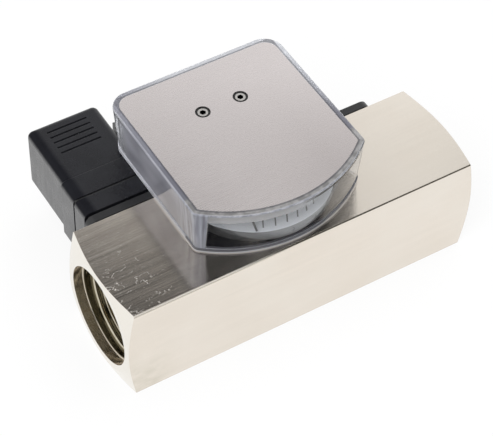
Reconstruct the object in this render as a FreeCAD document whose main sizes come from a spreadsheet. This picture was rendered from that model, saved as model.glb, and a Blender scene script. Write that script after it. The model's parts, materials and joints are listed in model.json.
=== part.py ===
"""Variable area flow meter: a square metering body, a magnetic pointer under a clear
cover, and a switch housing with a cable connector behind the body.

The frame's origin is the centre of the body's bottom face. +X is the flow's way,
+Y points to the connector and +Z up. All sizes are millimetres or degrees.
"""
import FreeCAD, Part
import math
import os

import Sketcher

SIZES = (
    ("port_radius", 16.62, "thread groove radius of a one inch pipe port"),
    ("port_wall", 3.38, "body's wall beside a port"),
    ("bar_length", 132.0, "length of the body from end to end"),
    ("edge_break", 0.4, "small chamfer along the body's four long edges"),
    ("land_inset", 0.4, "flat ring at each turned end, inside the body's side"),
    ("corner_setback", 2.45, "how far the turned cone cuts the corners back"),
    ("mouth_step", 0.68, "plain recess at the mouth of a port, wider than its thread"),
    ("mouth_depth", 3.5, "depth of that recess"),
    ("port_depth", 20.0, "depth of a port from its end face"),
    ("chamber_radius", 14.0, "guide bore of the piston"),
    ("seat_step", 0.6, "radial step that the two spiders seat on"),
    ("ring_thickness", 1.2, "thickness of a retaining ring"),
    ("ring_bite", 0.8, "how deep a retaining ring sits in its groove"),
    ("ring_width", 2.2, "radial width of a retaining ring"),
    ("ring_gap_angle", 50.0, "open angle of a retaining ring"),
    ("fit_gap", 0.05, "clearance of a piece that seats in another"),
    ("running_gap", 0.08, "radial clearance of a sliding or turning piece"),
    ("end_gap", 0.3, "space between a moving piece and its stop"),
    ("spider_thickness", 4.0, "length of the inlet spider"),
    ("spider_rim", 3.0, "radial width of a spider's rim"),
    ("spider_arm", 3.0, "width of a spider's arm"),
    ("hub_radius", 5.0, "hub of the inlet spider"),
    ("stud_radius", 2.5, "stud of the metering cone"),
    ("cone_land", 3.5, "straight length of the cone at its foot"),
    ("cone_length", 26.0, "length of the cone with its foot"),
    ("cone_tip_radius", 3.6, "radius of the cone's end"),
    ("nut_width", 8.0, "width of the cone's nut across its flats"),
    ("nut_height", 4.0, "height of the cone's nut"),
    ("piston_length", 16.0, "length of the piston"),
    ("piston_flange", 5.0, "length of the piston's guiding flange"),
    ("piston_stroke", 17.4, "travel of the piston"),
    ("orifice_step", 2.3, "sharp-edged orifice inside the stem's bore"),
    ("orifice_depth", 3.0, "thickness of the piston's orifice wall"),
    ("stem_radius", 11.5, "outside of the piston's stem"),
    ("stem_wall", 1.2, "wall of the piston's stem"),
    ("magnet_length", 6.0, "length of the ring magnet"),
    ("magnet_recess", 0.5, "how far the ring magnet stays inside the guide rings"),
    ("spring_room", 16.0, "space behind the piston at full travel"),
    ("spring_gap", 0.55, "space round the spring in the piston's stem"),
    ("spring_wire", 1.2, "wire diameter of the spring"),
    ("spring_turns", 7.0, "turns of the spring with its two closed ends"),
    ("seat_thickness", 3.5, "length of the spring seat"),
    ("seat_ring_width", 2.4, "radial width of the ring under the spring"),
    ("head_x", -3.2, "place of the pointer's pivot along the body"),
    ("cover_front_radius", 46.3, "front window's radius about the pivot, at its foot"),
    ("cover_half_width", 30.7, "half of the cover's width at its foot"),
    ("cover_back", 20.6, "cover's reach behind the pivot at its foot"),
    ("cover_height", 18.5, "height of the cover over the body"),
    ("cover_lean", 1.3, "how far the cover's walls lean outwards up to its top"),
    ("cover_wall", 2.2, "wall of the cover at its foot"),
    ("cover_web", 2.7, "cover's top under the steel plate"),
    ("cover_rear_corner", 7.0, "radius of the cover's rear corners"),
    ("cover_front_corner", 2.5, "radius of the cover's front corners"),
    ("cover_edge", 0.6, "rounding of the cover's upper edge"),
    ("lip_width", 0.4, "lip at the cover's foot"),
    ("lip_height", 1.4, "height of that lip"),
    ("top_plate_inset", 2.2, "clear rim round the steel plate"),
    ("top_plate_thickness", 1.0, "steel plate"),
    ("screw_spacing", 14.2, "distance between the two cover screws"),
    ("screw_back", 1.2, "cover screws' place behind the pivot"),
    ("screw_recess_radius", 2.55, "recess round a cover screw's head"),
    ("screw_seal_sunk", 0.4, "how far the seal round that head lies under the steel plate's face"),
    ("screw_head_radius", 1.75, "head of a cover screw"),
    ("screw_head_height", 2.0, "height of that head"),
    ("screw_sunk", 0.2, "how far that head lies under the steel plate's face"),
    ("screw_radius", 1.0, "shank of a cover screw"),
    ("screw_length", 12.0, "length of a cover screw's shank"),
    ("screw_socket", 1.9, "hexagon socket of a cover screw across its flats"),
    ("carrier_thickness", 0.8, "dial carrier"),
    ("carrier_gap", 0.4, "space round the dial carrier inside the cover"),
    ("dial_thickness", 0.8, "dial"),
    ("dial_height", 4.4, "dial's face over its carrier"),
    ("dial_radius", 24.0, "radius of the dial's edge"),
    ("dial_cut", 9.0, "dial's straight back before the middle of its arc"),
    ("dial_gap", 0.9, "space between the dial and the window"),
    ("pointer_rest_angle", 16.5, "pointer's turn away from the middle at no flow"),
    ("arm_lift", 0.6, "pointer arm's underside over the dial"),
    ("arm_thickness", 1.2, "pointer arm"),
    ("arm_width", 4.6, "pointer arm at its hub"),
    ("arm_tip_width", 1.8, "pointer arm at its tip"),
    ("arm_hub_radius", 3.0, "hub of the pointer arm"),
    ("arm_hub_height", 4.4, "height of that hub"),
    ("arm_tail", 11.0, "centre of the counterweight behind the pivot"),
    ("weight_radius", 2.8, "counterweight"),
    ("weight_height", 3.6, "height of the counterweight"),
    ("follower_radius", 3.0, "disc magnet in the pointer arm"),
    ("follower_height", 2.2, "height of that magnet"),
    ("follower_wall", 1.0, "wall round that magnet"),
    ("follower_floor", 0.4, "floor under that magnet"),
    ("window_gap", 2.2, "space between the needle and the window"),
    ("tip_thickness", 0.5, "needle"),
    ("tip_width", 0.6, "width of the needle"),
    ("bush_wall", 0.9, "wall of the pointer's bush"),
    ("pin_radius", 1.0, "pivot pin"),
    ("pin_seat", 9.0, "depth of the pivot pin in its boss"),
    ("pin_head", 2.2, "length of the pivot pin over the hub"),
    ("pin_groove", 0.3, "depth of the clip's groove in the pivot pin"),
    ("clip_thickness", 0.5, "clip on the pivot pin"),
    ("clip_radius", 2.2, "outside of that clip"),
    ("boss_radius", 2.6, "boss under the pointer's hub"),
    ("post_radius", 2.7, "posts that take the cover screws"),
    ("post_gap", 0.4, "space between the posts and the board"),
    ("plate_thickness", 2.8, "back plate"),
    ("plate_margin", 0.6, "back plate's edge beside the connector"),
    ("plate_right", 50.5, "back plate's reach towards the outlet"),
    ("plate_bottom", 2.0, "back plate's lower edge"),
    ("plate_corner", 3.0, "corner radius of the back plate"),
    ("plate_screw_radius", 2.0, "shank of a back plate screw"),
    ("plate_screw_head", 3.7, "head of a back plate screw"),
    ("plate_screw_inset", 5.2, "back plate screws from the plate's edges"),
    ("plate_screw_step", 18.6, "distance between the two left screws"),
    ("plate_screw_depth", 5.0, "depth of a back plate screw in the body"),
    ("wire_slot_height", 6.0, "slot in the back plate for the switch leads"),
    ("housing_half_width", 25.2, "half of the switch housing's width"),
    ("housing_bottom", 8.0, "switch housing's underside"),
    ("housing_wall", 1.6, "wall of the switch housing"),
    ("housing_corner", 4.0, "radius of the switch housing's rear corners"),
    ("board_thickness", 1.0, "circuit board"),
    ("board_side_gap", 0.6, "space beside the board"),
    ("board_floor_gap", 2.4, "space under the board"),
    ("board_top_gap", 4.0, "board's upper edge under the body's top"),
    ("housing_screw_radius", 1.5, "shank of a housing screw"),
    ("housing_screw_head", 2.6, "head of a housing screw"),
    ("housing_screw_height", 1.8, "height of that head"),
    ("housing_screw_inset", 3.6, "housing screws from the board's edges"),
    ("reed_radius", 1.1, "glass of the reed contact"),
    ("reed_length", 10.0, "length of that glass"),
    ("lead_radius", 0.3, "leads of the reed contact"),
    ("lead_length", 1.0, "free length of a lead"),
    ("plug_gap", 0.6, "space between the connector and the switch housing"),
    ("plug_drop", 0.4, "connector's top under the body's top"),
    ("plug_width", 28.4, "connector's width"),
    ("plug_height", 26.4, "connector's height"),
    ("plug_corner", 2.2, "radius of the connector's long edges"),
    ("gasket_thickness", 1.5, "seal under the socket"),
    ("gasket_inset", 1.4, "how far that seal stays inside the socket's edge"),
    ("gasket_border", 6.2, "socket's edge round the window in its seal"),
    ("base_depth", 6.9, "socket's flange"),
    ("core_depth", 6.0, "socket's raised core"),
    ("core_inset", 4.4, "core's step inside the socket's edge"),
    ("seal_thickness", 0.8, "seal between socket and plug"),
    ("seal_inset", 0.5, "how far that seal stays inside the socket's edge"),
    ("plug_length", 36.0, "plug hood's length"),
    ("skirt_depth", 9.5, "wider skirt of the plug hood"),
    ("hood_inset", 1.0, "hood's step inside its skirt"),
    ("hood_wall", 1.8, "wall of the plug hood"),
    ("hood_end", 5.0, "plug hood's end wall"),
    ("groove_width", 0.7, "grip grooves on the hood"),
    ("groove_depth", 0.5, "depth of the grip grooves"),
    ("groove_length", 15.0, "length of the grip grooves"),
    ("groove_pitch", 2.6, "distance between grip grooves"),
    ("groove_start", 4.4, "first grip groove from the hood's end"),
    ("groove_count", 5.0, "number of grip grooves"),
    ("block_depth", 8.4, "terminal block"),
    ("block_gap", 1.2, "space between core and terminal block"),
    ("blade_width", 6.3, "width of a contact blade"),
    ("blade_thickness", 0.8, "thickness of a contact blade"),
    ("blade_length", 18.0, "length of a contact blade"),
    ("blade_inset", 2.2, "contact blades from the core's edge"),
    ("blade_root", 2.0, "contact blades from the back of the socket"),
    ("base_screw_radius", 1.0, "shank of a socket screw"),
    ("base_screw_head", 1.7, "head of a socket screw"),
    ("base_screw_height", 1.4, "height of that head"),
    ("base_screw_inset", 2.8, "socket screws from the socket's edges"),
    ("plug_screw_radius", 1.5, "central screw of the plug"),
    ("plug_screw_head", 2.75, "head of the central screw"),
    ("plug_screw_height", 2.0, "height of that head"),
    ("plug_screw_sunk", 0.4, "how far that head lies inside the hood"),
    ("plug_screw_slot", 0.8, "slot in the central screw's head"),
    ("gland_back", 14.6, "gland's axis from the hood's end"),
    ("gland_radius", 8.6, "gland's sleeve on the hood"),
    ("gland_sleeve", 3.6, "length of that sleeve"),
    ("gland_bore", 6.6, "bore of the gland's sleeve"),
    ("gland_nut_width", 19.0, "gland nut across its flats"),
    ("gland_nut_length", 9.5, "length of the gland nut"),
    ("gland_nut_wall", 1.6, "end wall of the gland nut"),
    ("gland_nut_chamfer", 1.2, "chamfer of the gland nut's end"),
    ("gland_gap", 0.6, "space between the gland nut and the switch housing"),
    ("gland_seal_length", 6.0, "length of the cable grommet"),
    ("gland_washer_thickness", 0.8, "washer between grommet and nut"),
    ("cable_radius", 3.6, "cable hole of the gland"),
)

X_AXIS = FreeCAD.Vector(1, 0, 0)
Y_AXIS = FreeCAD.Vector(0, 1, 0)
Z_AXIS = FreeCAD.Vector(0, 0, 1)
ALONG = {
    "x": FreeCAD.Rotation(Y_AXIS, 90),
    "y": FreeCAD.Rotation(X_AXIS, -90),
    "z": FreeCAD.Rotation(),
}
SIDES = (-1, 1)
SMALL = 1e-4
SPRING_STEPS = 12
SPRING_SIDES = 8

# Places and sizes that follow from the sheet, as expressions
BAR_SIDE = "(2 * (Sizes.port_radius + Sizes.port_wall))"
AXIS_Z = f"({BAR_SIDE} / 2)"
TOP_Z = BAR_SIDE
BACK_Y = f"({BAR_SIDE} / 2)"
PLATE_Y = f"({BACK_Y} + Sizes.plate_thickness)"
LAND_RADIUS = f"({BAR_SIDE} / 2 - Sizes.land_inset)"
MOUTH_RADIUS = "(Sizes.port_radius + Sizes.mouth_step)"
BOARD_Y = f"({PLATE_Y} + Sizes.housing_wall)"
BOARD_BACK = f"({BOARD_Y} + Sizes.board_thickness)"
PIVOT_Y = f"({BOARD_BACK} + Sizes.post_gap + Sizes.post_radius)"
MAGNET_X = f"(Sizes.head_x - {PIVOT_Y} * tan(Sizes.pointer_rest_angle))"
INLET_X = f"({MAGNET_X} - Sizes.piston_flange - Sizes.magnet_length / 2 - Sizes.end_gap)"
PISTON_X = f"({INLET_X} + Sizes.end_gap)"
STEM_END_X = f"({PISTON_X} + Sizes.piston_length)"
OUTLET_X = f"({STEM_END_X} + Sizes.piston_stroke + Sizes.spring_room)"
SEAT_RADIUS = "(Sizes.chamber_radius + Sizes.seat_step)"
GROOVE_RADIUS = f"({SEAT_RADIUS} + Sizes.ring_bite)"
PISTON_RADIUS = "(Sizes.chamber_radius - Sizes.running_gap)"
STEM_BORE = "(Sizes.stem_radius - Sizes.stem_wall)"
SPRING_RADIUS = f"({STEM_BORE} - Sizes.spring_gap - Sizes.spring_wire / 2)"
ORIFICE_RADIUS = f"({STEM_BORE} - Sizes.orifice_step)"
CONE_RADIUS = f"({ORIFICE_RADIUS} - Sizes.end_gap)"
SCREW_Y = f"({PIVOT_Y} + Sizes.screw_back)"
COVER_TOP = f"({TOP_Z} + Sizes.cover_height)"
COVER_TOP_HALF = "(Sizes.cover_half_width + Sizes.cover_lean)"
COVER_TOP_RADIUS = "(Sizes.cover_front_radius + Sizes.cover_lean)"
COVER_TOP_BACK = "(Sizes.cover_back + Sizes.cover_lean)"
WEB_TOP = f"({COVER_TOP} - Sizes.top_plate_thickness)"
CEILING = f"({WEB_TOP} - Sizes.cover_web)"
CARRIER_TOP = f"({TOP_Z} + Sizes.carrier_thickness)"
DIAL_TOP = f"({CARRIER_TOP} + Sizes.dial_height)"
ARM_Z = f"({DIAL_TOP} + Sizes.arm_lift)"
HUB_TOP = f"({ARM_Z} + Sizes.arm_hub_height)"
BOSS_TOP = f"({ARM_Z} - Sizes.end_gap)"
WINDOW_RADIUS = "(Sizes.cover_front_radius - Sizes.cover_wall)"
TIP_RADIUS = f"({WINDOW_RADIUS} - Sizes.window_gap)"
ARM_END = f"({PIVOT_Y} + Sizes.follower_radius + 2 * Sizes.follower_wall)"
DIAL_Y = f"({PIVOT_Y} - {WINDOW_RADIUS} + Sizes.dial_gap + Sizes.dial_radius)"
DIAL_BACK = f"({DIAL_Y} - Sizes.dial_cut)"
FLOOR_Z = "(Sizes.housing_bottom + Sizes.housing_wall)"
BOARD_HALF_WIDTH = "(Sizes.housing_half_width - Sizes.housing_wall - Sizes.board_side_gap)"
BOARD_BOTTOM = f"({FLOOR_Z} + Sizes.board_floor_gap)"
BOARD_HEIGHT = f"({TOP_Z} - Sizes.board_top_gap - {BOARD_BOTTOM})"
HOUSING_LEFT = "(Sizes.head_x - Sizes.housing_half_width)"
PLUG_X = f"({HOUSING_LEFT} - Sizes.plug_gap - Sizes.plug_width / 2)"
PLUG_Z = f"({TOP_Z} - Sizes.plug_drop - Sizes.plug_height / 2)"
PLATE_LEFT = f"({PLUG_X} - Sizes.plug_width / 2 - Sizes.plate_margin)"
BASE_Y = f"({PLATE_Y} + Sizes.gasket_thickness)"
BASE_BACK = f"({BASE_Y} + Sizes.base_depth)"
CORE_BACK = f"({BASE_BACK} + Sizes.core_depth)"
CORE_WIDTH = "(Sizes.plug_width - 2 * Sizes.core_inset)"
CORE_HEIGHT = "(Sizes.plug_height - 2 * Sizes.core_inset)"
GASKET_WINDOW = "(Sizes.plug_height - 2 * Sizes.gasket_border)"
BLADE_SIDE = f"({CORE_WIDTH} / 2 - Sizes.blade_inset)"
BLADE_RISE = f"({CORE_HEIGHT} / 2 - Sizes.blade_inset)"
BASE_SCREW_SIDE = "(Sizes.plug_width / 2 - Sizes.base_screw_inset)"
BASE_SCREW_RISE = "(Sizes.plug_height / 2 - Sizes.base_screw_inset)"
HOOD_Y = f"({BASE_BACK} + Sizes.seal_thickness)"
SKIRT_BACK = f"({HOOD_Y} + Sizes.skirt_depth)"
HOOD_BACK = f"({HOOD_Y} + Sizes.plug_length)"
CAVITY_BACK = f"({HOOD_BACK} - Sizes.hood_end)"
HOOD_TOP = f"({PLUG_Z} + Sizes.plug_height / 2 - Sizes.hood_inset)"
HOOD_RIGHT = f"({PLUG_X} + Sizes.plug_width / 2 - Sizes.hood_inset)"
CAVITY_WIDTH = "(Sizes.plug_width - 2 * Sizes.hood_inset - 2 * Sizes.hood_wall)"
CAVITY_HEIGHT = "(Sizes.plug_height - 2 * Sizes.hood_inset - 2 * Sizes.hood_wall)"
BLOCK_Y = f"({CORE_BACK} + Sizes.block_gap)"
GLAND_Y = f"({HOOD_BACK} - Sizes.gland_back)"
SLEEVE_END = f"({HOOD_RIGHT} + Sizes.gland_sleeve)"
NUT_END = f"({SLEEVE_END} + Sizes.gland_nut_length)"
HOUSING_BACK = f"({GLAND_Y} - Sizes.gland_nut_width / 2 - Sizes.gland_gap)"

doc = FreeCAD.newDocument("flow_meter")
sheet = doc.addObject("Spreadsheet::Sheet", "Sizes")
pieces = []


def fill_sheet():
    """Writes every driving size into the sheet, under its own alias."""
    for row, (alias, number, meaning) in enumerate(SIZES, 1):
        sheet.set(f"A{row}", meaning)
        sheet.set(f"B{row}", str(number))
        sheet.setAlias(f"B{row}", alias)
    doc.recompute()


def value(expression):
    """The number that an expression over the sheet gives now."""
    result = sheet.evalExpression(str(expression))
    return float(getattr(result, "Value", result))


def new_body(name):
    """An empty body that is one of the object's pieces."""
    piece = doc.addObject("PartDesign::Body", name)
    piece.Label = name
    pieces.append(piece)
    return piece


def new_sketch(piece, name, role, height="0", across="0", up="0"):
    """A sketch on one of the body's own planes, moved by expressions."""
    drawing = piece.newObject("Sketcher::SketchObject", f"{piece.Name}_{name}")
    plane = next(f for f in piece.Origin.OriginFeatures if f.Role == role)
    drawing.AttachmentSupport = [(plane, "")]
    drawing.MapMode = "FlatFace"
    drawing.setExpression("AttachmentOffset.Base.x", across)
    drawing.setExpression("AttachmentOffset.Base.y", up)
    drawing.setExpression("AttachmentOffset.Base.z", height)
    return drawing


def hold(drawing, kind, geometry, point, expression):
    """Ties one coordinate of a sketch point to an expression."""
    number = value(expression)
    index = drawing.addConstraint(Sketcher.Constraint(kind, -1, 1, geometry, point, number))
    drawing.setExpression(f"Constraints[{index}]", str(expression))


def hold_radius(drawing, geometry, expression):
    """Ties a circle's or an arc's radius to an expression."""
    index = drawing.addConstraint(Sketcher.Constraint("Radius", geometry, value(expression)))
    drawing.setExpression(f"Constraints[{index}]", str(expression))


def bowed_side(start, end, radius):
    """The arc from start to end that bulges to the right of its way."""
    chord = end - start
    half = chord.Length / 2
    depth = radius - math.sqrt(radius * radius - half * half)
    outward = FreeCAD.Vector(chord.y, -chord.x, 0).normalize()
    return Part.Arc(start, start + chord * 0.5 + outward * depth, end)


def outline(drawing, corners, bows=None):
    """A closed outline, anticlockwise, with its corners at expressions.

    bows gives the radius of each side, by its number, that is an arc and not straight.
    """
    bows = bows or {}
    places = [FreeCAD.Vector(value(across), value(up), 0) for across, up in corners]
    first = drawing.GeometryCount
    count = len(places)
    for side, start in enumerate(places):
        end = places[(side + 1) % count]
        if side in bows:
            drawing.addGeometry(bowed_side(start, end, value(bows[side])), False)
        else:
            drawing.addGeometry(Part.LineSegment(start, end), False)
    for side, (across, up) in enumerate(corners):
        following = first + (side + 1) % count
        drawing.addConstraint(Sketcher.Constraint("Coincident", first + side, 2, following, 1))
        hold(drawing, "DistanceX", first + side, 1, across)
        hold(drawing, "DistanceY", first + side, 1, up)
    for side, radius in bows.items():
        hold_radius(drawing, first + side, radius)


def rectangle(drawing, across, up, width, height):
    """A rectangle about a middle point, all given by expressions."""
    left, right = f"{across} - {width} / 2", f"{across} + {width} / 2"
    low, high = f"{up} - {height} / 2", f"{up} + {height} / 2"
    outline(drawing, [(left, low), (right, low), (right, high), (left, high)])


def circle(drawing, across, up, radius):
    """A circle about a middle point, all given by expressions."""
    centre = FreeCAD.Vector(value(across), value(up), 0)
    index = drawing.addGeometry(Part.Circle(centre, Z_AXIS, value(radius)), False)
    hold(drawing, "DistanceX", index, 3, across)
    hold(drawing, "DistanceY", index, 3, up)
    hold_radius(drawing, index, radius)


def extrude(piece, kind, drawing, length, backwards=False):
    """A pad or a pocket of one sketch."""
    feature = piece.newObject(f"PartDesign::{kind}", f"{drawing.Name}_{kind.lower()}")
    feature.Profile = drawing
    feature.setExpression("Length", str(length))
    feature.Reversed = backwards
    before = 0.0 if feature.BaseFeature is None else feature.BaseFeature.Shape.Volume
    doc.recompute()
    changed = feature.Shape.Volume - before
    if (changed <= 0) == (kind == "Pad"):
        raise ValueError(f"{feature.Name} changes nothing")
    return feature


def revolve(piece, kind, drawing, axis):
    """A full revolution or groove of one sketch about one of its axes."""
    feature = piece.newObject(f"PartDesign::{kind}", f"{drawing.Name}_{kind.lower()}")
    feature.Profile = drawing
    feature.ReferenceAxis = (drawing, [axis])
    feature.Angle = 360
    doc.recompute()
    return feature


def straight_along(edge, axis):
    """True for a straight edge parallel to an axis."""
    return isinstance(edge.Curve, Part.Line) and abs(abs(edge.Curve.Direction.dot(axis)) - 1) < SMALL


def rim_of(piece, axis, height):
    """Outer edges of the body's flat face that looks along an axis at a height."""
    level = value(height)
    for face in piece.Tip.Shape.Faces:
        if abs(face.CenterOfMass.dot(axis) - level) < SMALL and face.normalAt(0, 0).dot(axis) > 1 - SMALL:
            return face.OuterWire.Edges
    raise ValueError(f"{piece.Name} has no face at {height}")


def is_one_of(edge, edges):
    """True for an edge that is in a list of edges."""
    return any(edge.isSame(other) for other in edges)


def dress(piece, kind, name, size, wanted):
    """A fillet or a chamfer on the edges of the body's last feature that are wanted."""
    base = piece.Tip
    names = [f"Edge{n}" for n, edge in enumerate(base.Shape.Edges, 1) if wanted(edge)]
    feature = piece.newObject(f"PartDesign::{kind}", f"{piece.Name}_{name}")
    feature.Base = (base, names)
    feature.setExpression("Radius" if kind == "Fillet" else "Size", size)
    doc.recompute()
    if not names or not feature.isValid():
        raise ValueError(f"{feature.Name} failed on {len(names)} edges")
    return feature


def repeat_round(piece, feature, drawing, count):
    """Repeats a feature round the normal of its sketch."""
    pattern = piece.newObject("PartDesign::PolarPattern", f"{feature.Name}_round")
    pattern.Originals = [feature]
    pattern.Axis = (drawing, ["N_Axis"])
    pattern.Angle = 360
    pattern.Occurrences = count
    piece.Tip = pattern
    doc.recompute()


def place(item, base, along="z"):
    """Puts a primitive at expressions, with its own length along an axis."""
    item.Placement = FreeCAD.Placement(FreeCAD.Vector(), ALONG[along])
    for axis, expression in zip("xyz", base):
        item.setExpression(f"Placement.Base.{axis}", str(expression))
    return item


def rod(name, base, along, radius, length):
    """A round rod from a base point along an axis."""
    item = place(doc.addObject("Part::Cylinder", name), base, along)
    item.setExpression("Radius", str(radius))
    item.setExpression("Height", str(length))
    return item


def hexagon(name, base, along, flats, length):
    """A six-sided rod from a base point along an axis."""
    item = place(doc.addObject("Part::Prism", name), base, along)
    item.Polygon = 6
    item.setExpression("Circumradius", f"{flats} / (2 * cos(30))")
    item.setExpression("Height", str(length))
    return item


def block(name, low, sizes):
    """A box from its lowest corner."""
    item = place(doc.addObject("Part::Box", name), low)
    for side, expression in zip(("Length", "Width", "Height"), sizes):
        item.setExpression(side, str(expression))
    return item


def joined(name, kind, first, second):
    """A cut or a fuse of two objects."""
    item = doc.addObject(f"Part::{kind}", name)
    item.Base = first
    item.Tool = second
    return item


def grouped(name, members):
    """One piece made of several equal, separate solids."""
    item = doc.addObject("Part::Compound", name)
    item.Links = members
    item.Label = name
    pieces.append(item)
    return item


def alone(item, name):
    """Marks a primitive or a boolean as a finished piece."""
    item.Label = name
    pieces.append(item)
    return item


def make_meter_body():
    """Square bar with turned ends, ports, the piston's bore and ring grooves."""
    piece = new_body("meter_body")
    square = new_sketch(piece, "square", "YZ_Plane", "-Sizes.bar_length / 2")
    rectangle(square, "0", AXIS_Z, BAR_SIDE, BAR_SIDE)
    extrude(piece, "Pad", square, "Sizes.bar_length")
    dress(piece, "Chamfer", "edges", "Sizes.edge_break", lambda e: straight_along(e, X_AXIS))
    turned = new_sketch(piece, "turned", "XZ_Plane", up=AXIS_Z)
    corner = f"({BAR_SIDE} * sqrt(2) / 2)"
    slope = f"(Sizes.corner_setback / ({corner} - {LAND_RADIUS}))"
    reach = BAR_SIDE
    cut_back = f"(Sizes.bar_length / 2 - {slope} * ({reach} - {LAND_RADIUS}))"
    end = "(Sizes.bar_length / 2)"
    beyond = "(Sizes.bar_length / 2 + Sizes.mouth_depth)"
    outline(turned, [(end, LAND_RADIUS), (beyond, LAND_RADIUS),
                     (beyond, reach), (cut_back, reach)])
    outline(turned, [(f"-{end}", LAND_RADIUS), (f"-{cut_back}", reach),
                     (f"-{beyond}", reach), (f"-{beyond}", LAND_RADIUS)])
    revolve(piece, "Groove", turned, "H_Axis")
    passage = new_sketch(piece, "passage", "XZ_Plane", up=AXIS_Z)
    outline(passage, passage_profile())
    revolve(piece, "Groove", passage, "H_Axis")
    holes = new_sketch(piece, "plate_holes", "XZ_Plane", f"-{BACK_Y}")
    for across, up in plate_screw_places():
        circle(holes, across, up, "Sizes.plate_screw_radius + Sizes.fit_gap")
    depth = "Sizes.plate_screw_depth + Sizes.plate_screw_radius / 2"
    extrude(piece, "Pocket", holes, depth, backwards=True)


def passage_profile():
    """Half section of everything bored out of the bar, from inlet to outlet."""
    end = "Sizes.bar_length / 2"
    mouth = f"({end} - Sizes.mouth_depth)"
    port = f"({end} - Sizes.port_depth)"
    slot = "(Sizes.ring_thickness + 2 * Sizes.fit_gap)"
    inlet_ring = f"({INLET_X} - Sizes.spider_thickness)"
    outlet_ring = f"({OUTLET_X} + Sizes.seat_thickness)"
    return [
        (f"-{end}", "0"), (end, "0"), (end, MOUTH_RADIUS), (mouth, MOUTH_RADIUS),
        (mouth, "Sizes.port_radius"), (port, "Sizes.port_radius"), (port, SEAT_RADIUS),
        (f"{outlet_ring} + {slot}", SEAT_RADIUS), (f"{outlet_ring} + {slot}", GROOVE_RADIUS),
        (outlet_ring, GROOVE_RADIUS), (outlet_ring, SEAT_RADIUS),
        (OUTLET_X, SEAT_RADIUS), (OUTLET_X, "Sizes.chamber_radius"),
        (INLET_X, "Sizes.chamber_radius"), (INLET_X, SEAT_RADIUS),
        (inlet_ring, SEAT_RADIUS), (inlet_ring, GROOVE_RADIUS),
        (f"{inlet_ring} - {slot}", GROOVE_RADIUS), (f"{inlet_ring} - {slot}", SEAT_RADIUS),
        (f"-{port}", SEAT_RADIUS), (f"-{port}", "Sizes.port_radius"),
        (f"-{mouth}", "Sizes.port_radius"), (f"-{mouth}", MOUTH_RADIUS),
        (f"-{end}", MOUTH_RADIUS),
    ]


def plate_screw_places():
    """Where the back plate's four screws stand, across and up."""
    left = f"({PLATE_LEFT} + Sizes.plate_screw_inset)"
    right = "(Sizes.plate_right - Sizes.plate_screw_inset)"
    low = "(Sizes.plate_bottom + Sizes.plate_screw_inset)"
    high = f"({TOP_Z} - Sizes.plate_screw_inset)"
    return [(left, low), (f"({left} + Sizes.plate_screw_step)", low), (right, low), (right, high)]


def make_spider(name, start, thickness, inner_rings):
    """A rim with three arms and inner rings, seated in the bar's bore."""
    piece = new_body(name)
    rim = f"({SEAT_RADIUS} - Sizes.fit_gap)"
    rings = [(rim, f"({rim} - Sizes.spider_rim)")] + inner_rings
    for number, (outer, inner) in enumerate(rings):
        ring = new_sketch(piece, f"ring_{number}", "YZ_Plane", start, up=AXIS_Z)
        circle(ring, "0", "0", outer)
        circle(ring, "0", "0", inner)
        if number == 0:
            extrude(piece, "Pad", ring, thickness)
    arm = new_sketch(piece, "arm", "YZ_Plane", start, up=AXIS_Z)
    inside = f"(({inner_rings[0][0]} + {inner_rings[0][1]}) / 2)"
    outside = f"({rim} - Sizes.spider_rim / 2)"
    half = "Sizes.spider_arm / 2"
    outline(arm, [(inside, f"-{half}"), (outside, f"-{half}"), (outside, half), (inside, half)])
    spoke = extrude(piece, "Pad", arm, thickness)
    repeat_round(piece, spoke, arm, 3)
    for number in range(1, len(rings)):
        ring = doc.getObject(f"{name}_ring_{number}")
        extrude(piece, "Pad", ring, thickness)


def make_flow_insert():
    """Inlet spider with the metering cone, and the spring's seat at the outlet."""
    spider_start = f"{INLET_X} - Sizes.spider_thickness"
    hole = "(Sizes.stud_radius + Sizes.fit_gap)"
    make_spider("inlet_spider", spider_start, "Sizes.spider_thickness", [("Sizes.hub_radius", hole)])
    spring_inside = f"({SPRING_RADIUS} - Sizes.seat_ring_width / 2)"
    spring_outside = f"({SPRING_RADIUS} + Sizes.seat_ring_width / 2)"
    make_spider("spring_seat", OUTLET_X, "Sizes.seat_thickness", [(spring_outside, spring_inside)])
    cone = new_body("metering_cone")
    half = new_sketch(cone, "half", "XZ_Plane", up=AXIS_Z)
    stud_end = f"({INLET_X} - Sizes.spider_thickness - Sizes.nut_height - Sizes.stud_radius / 2)"
    outline(half, [
        (stud_end, "0"), (f"{INLET_X} + Sizes.cone_length", "0"),
        (f"{INLET_X} + Sizes.cone_length", "Sizes.cone_tip_radius"),
        (f"{INLET_X} + Sizes.cone_land", CONE_RADIUS), (INLET_X, CONE_RADIUS),
        (INLET_X, "Sizes.stud_radius"), (stud_end, "Sizes.stud_radius")])
    revolve(cone, "Revolution", half, "H_Axis")
    nut_base = (f"{INLET_X} - Sizes.spider_thickness - Sizes.nut_height", "0", AXIS_Z)
    solid = hexagon("cone_nut_hexagon", nut_base, "x", "Sizes.nut_width", "Sizes.nut_height")
    bore = rod("cone_nut_bore", nut_base, "x", hole, "Sizes.nut_height")
    alone(joined("cone_nut", "Cut", solid, bore), "cone_nut")


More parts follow.
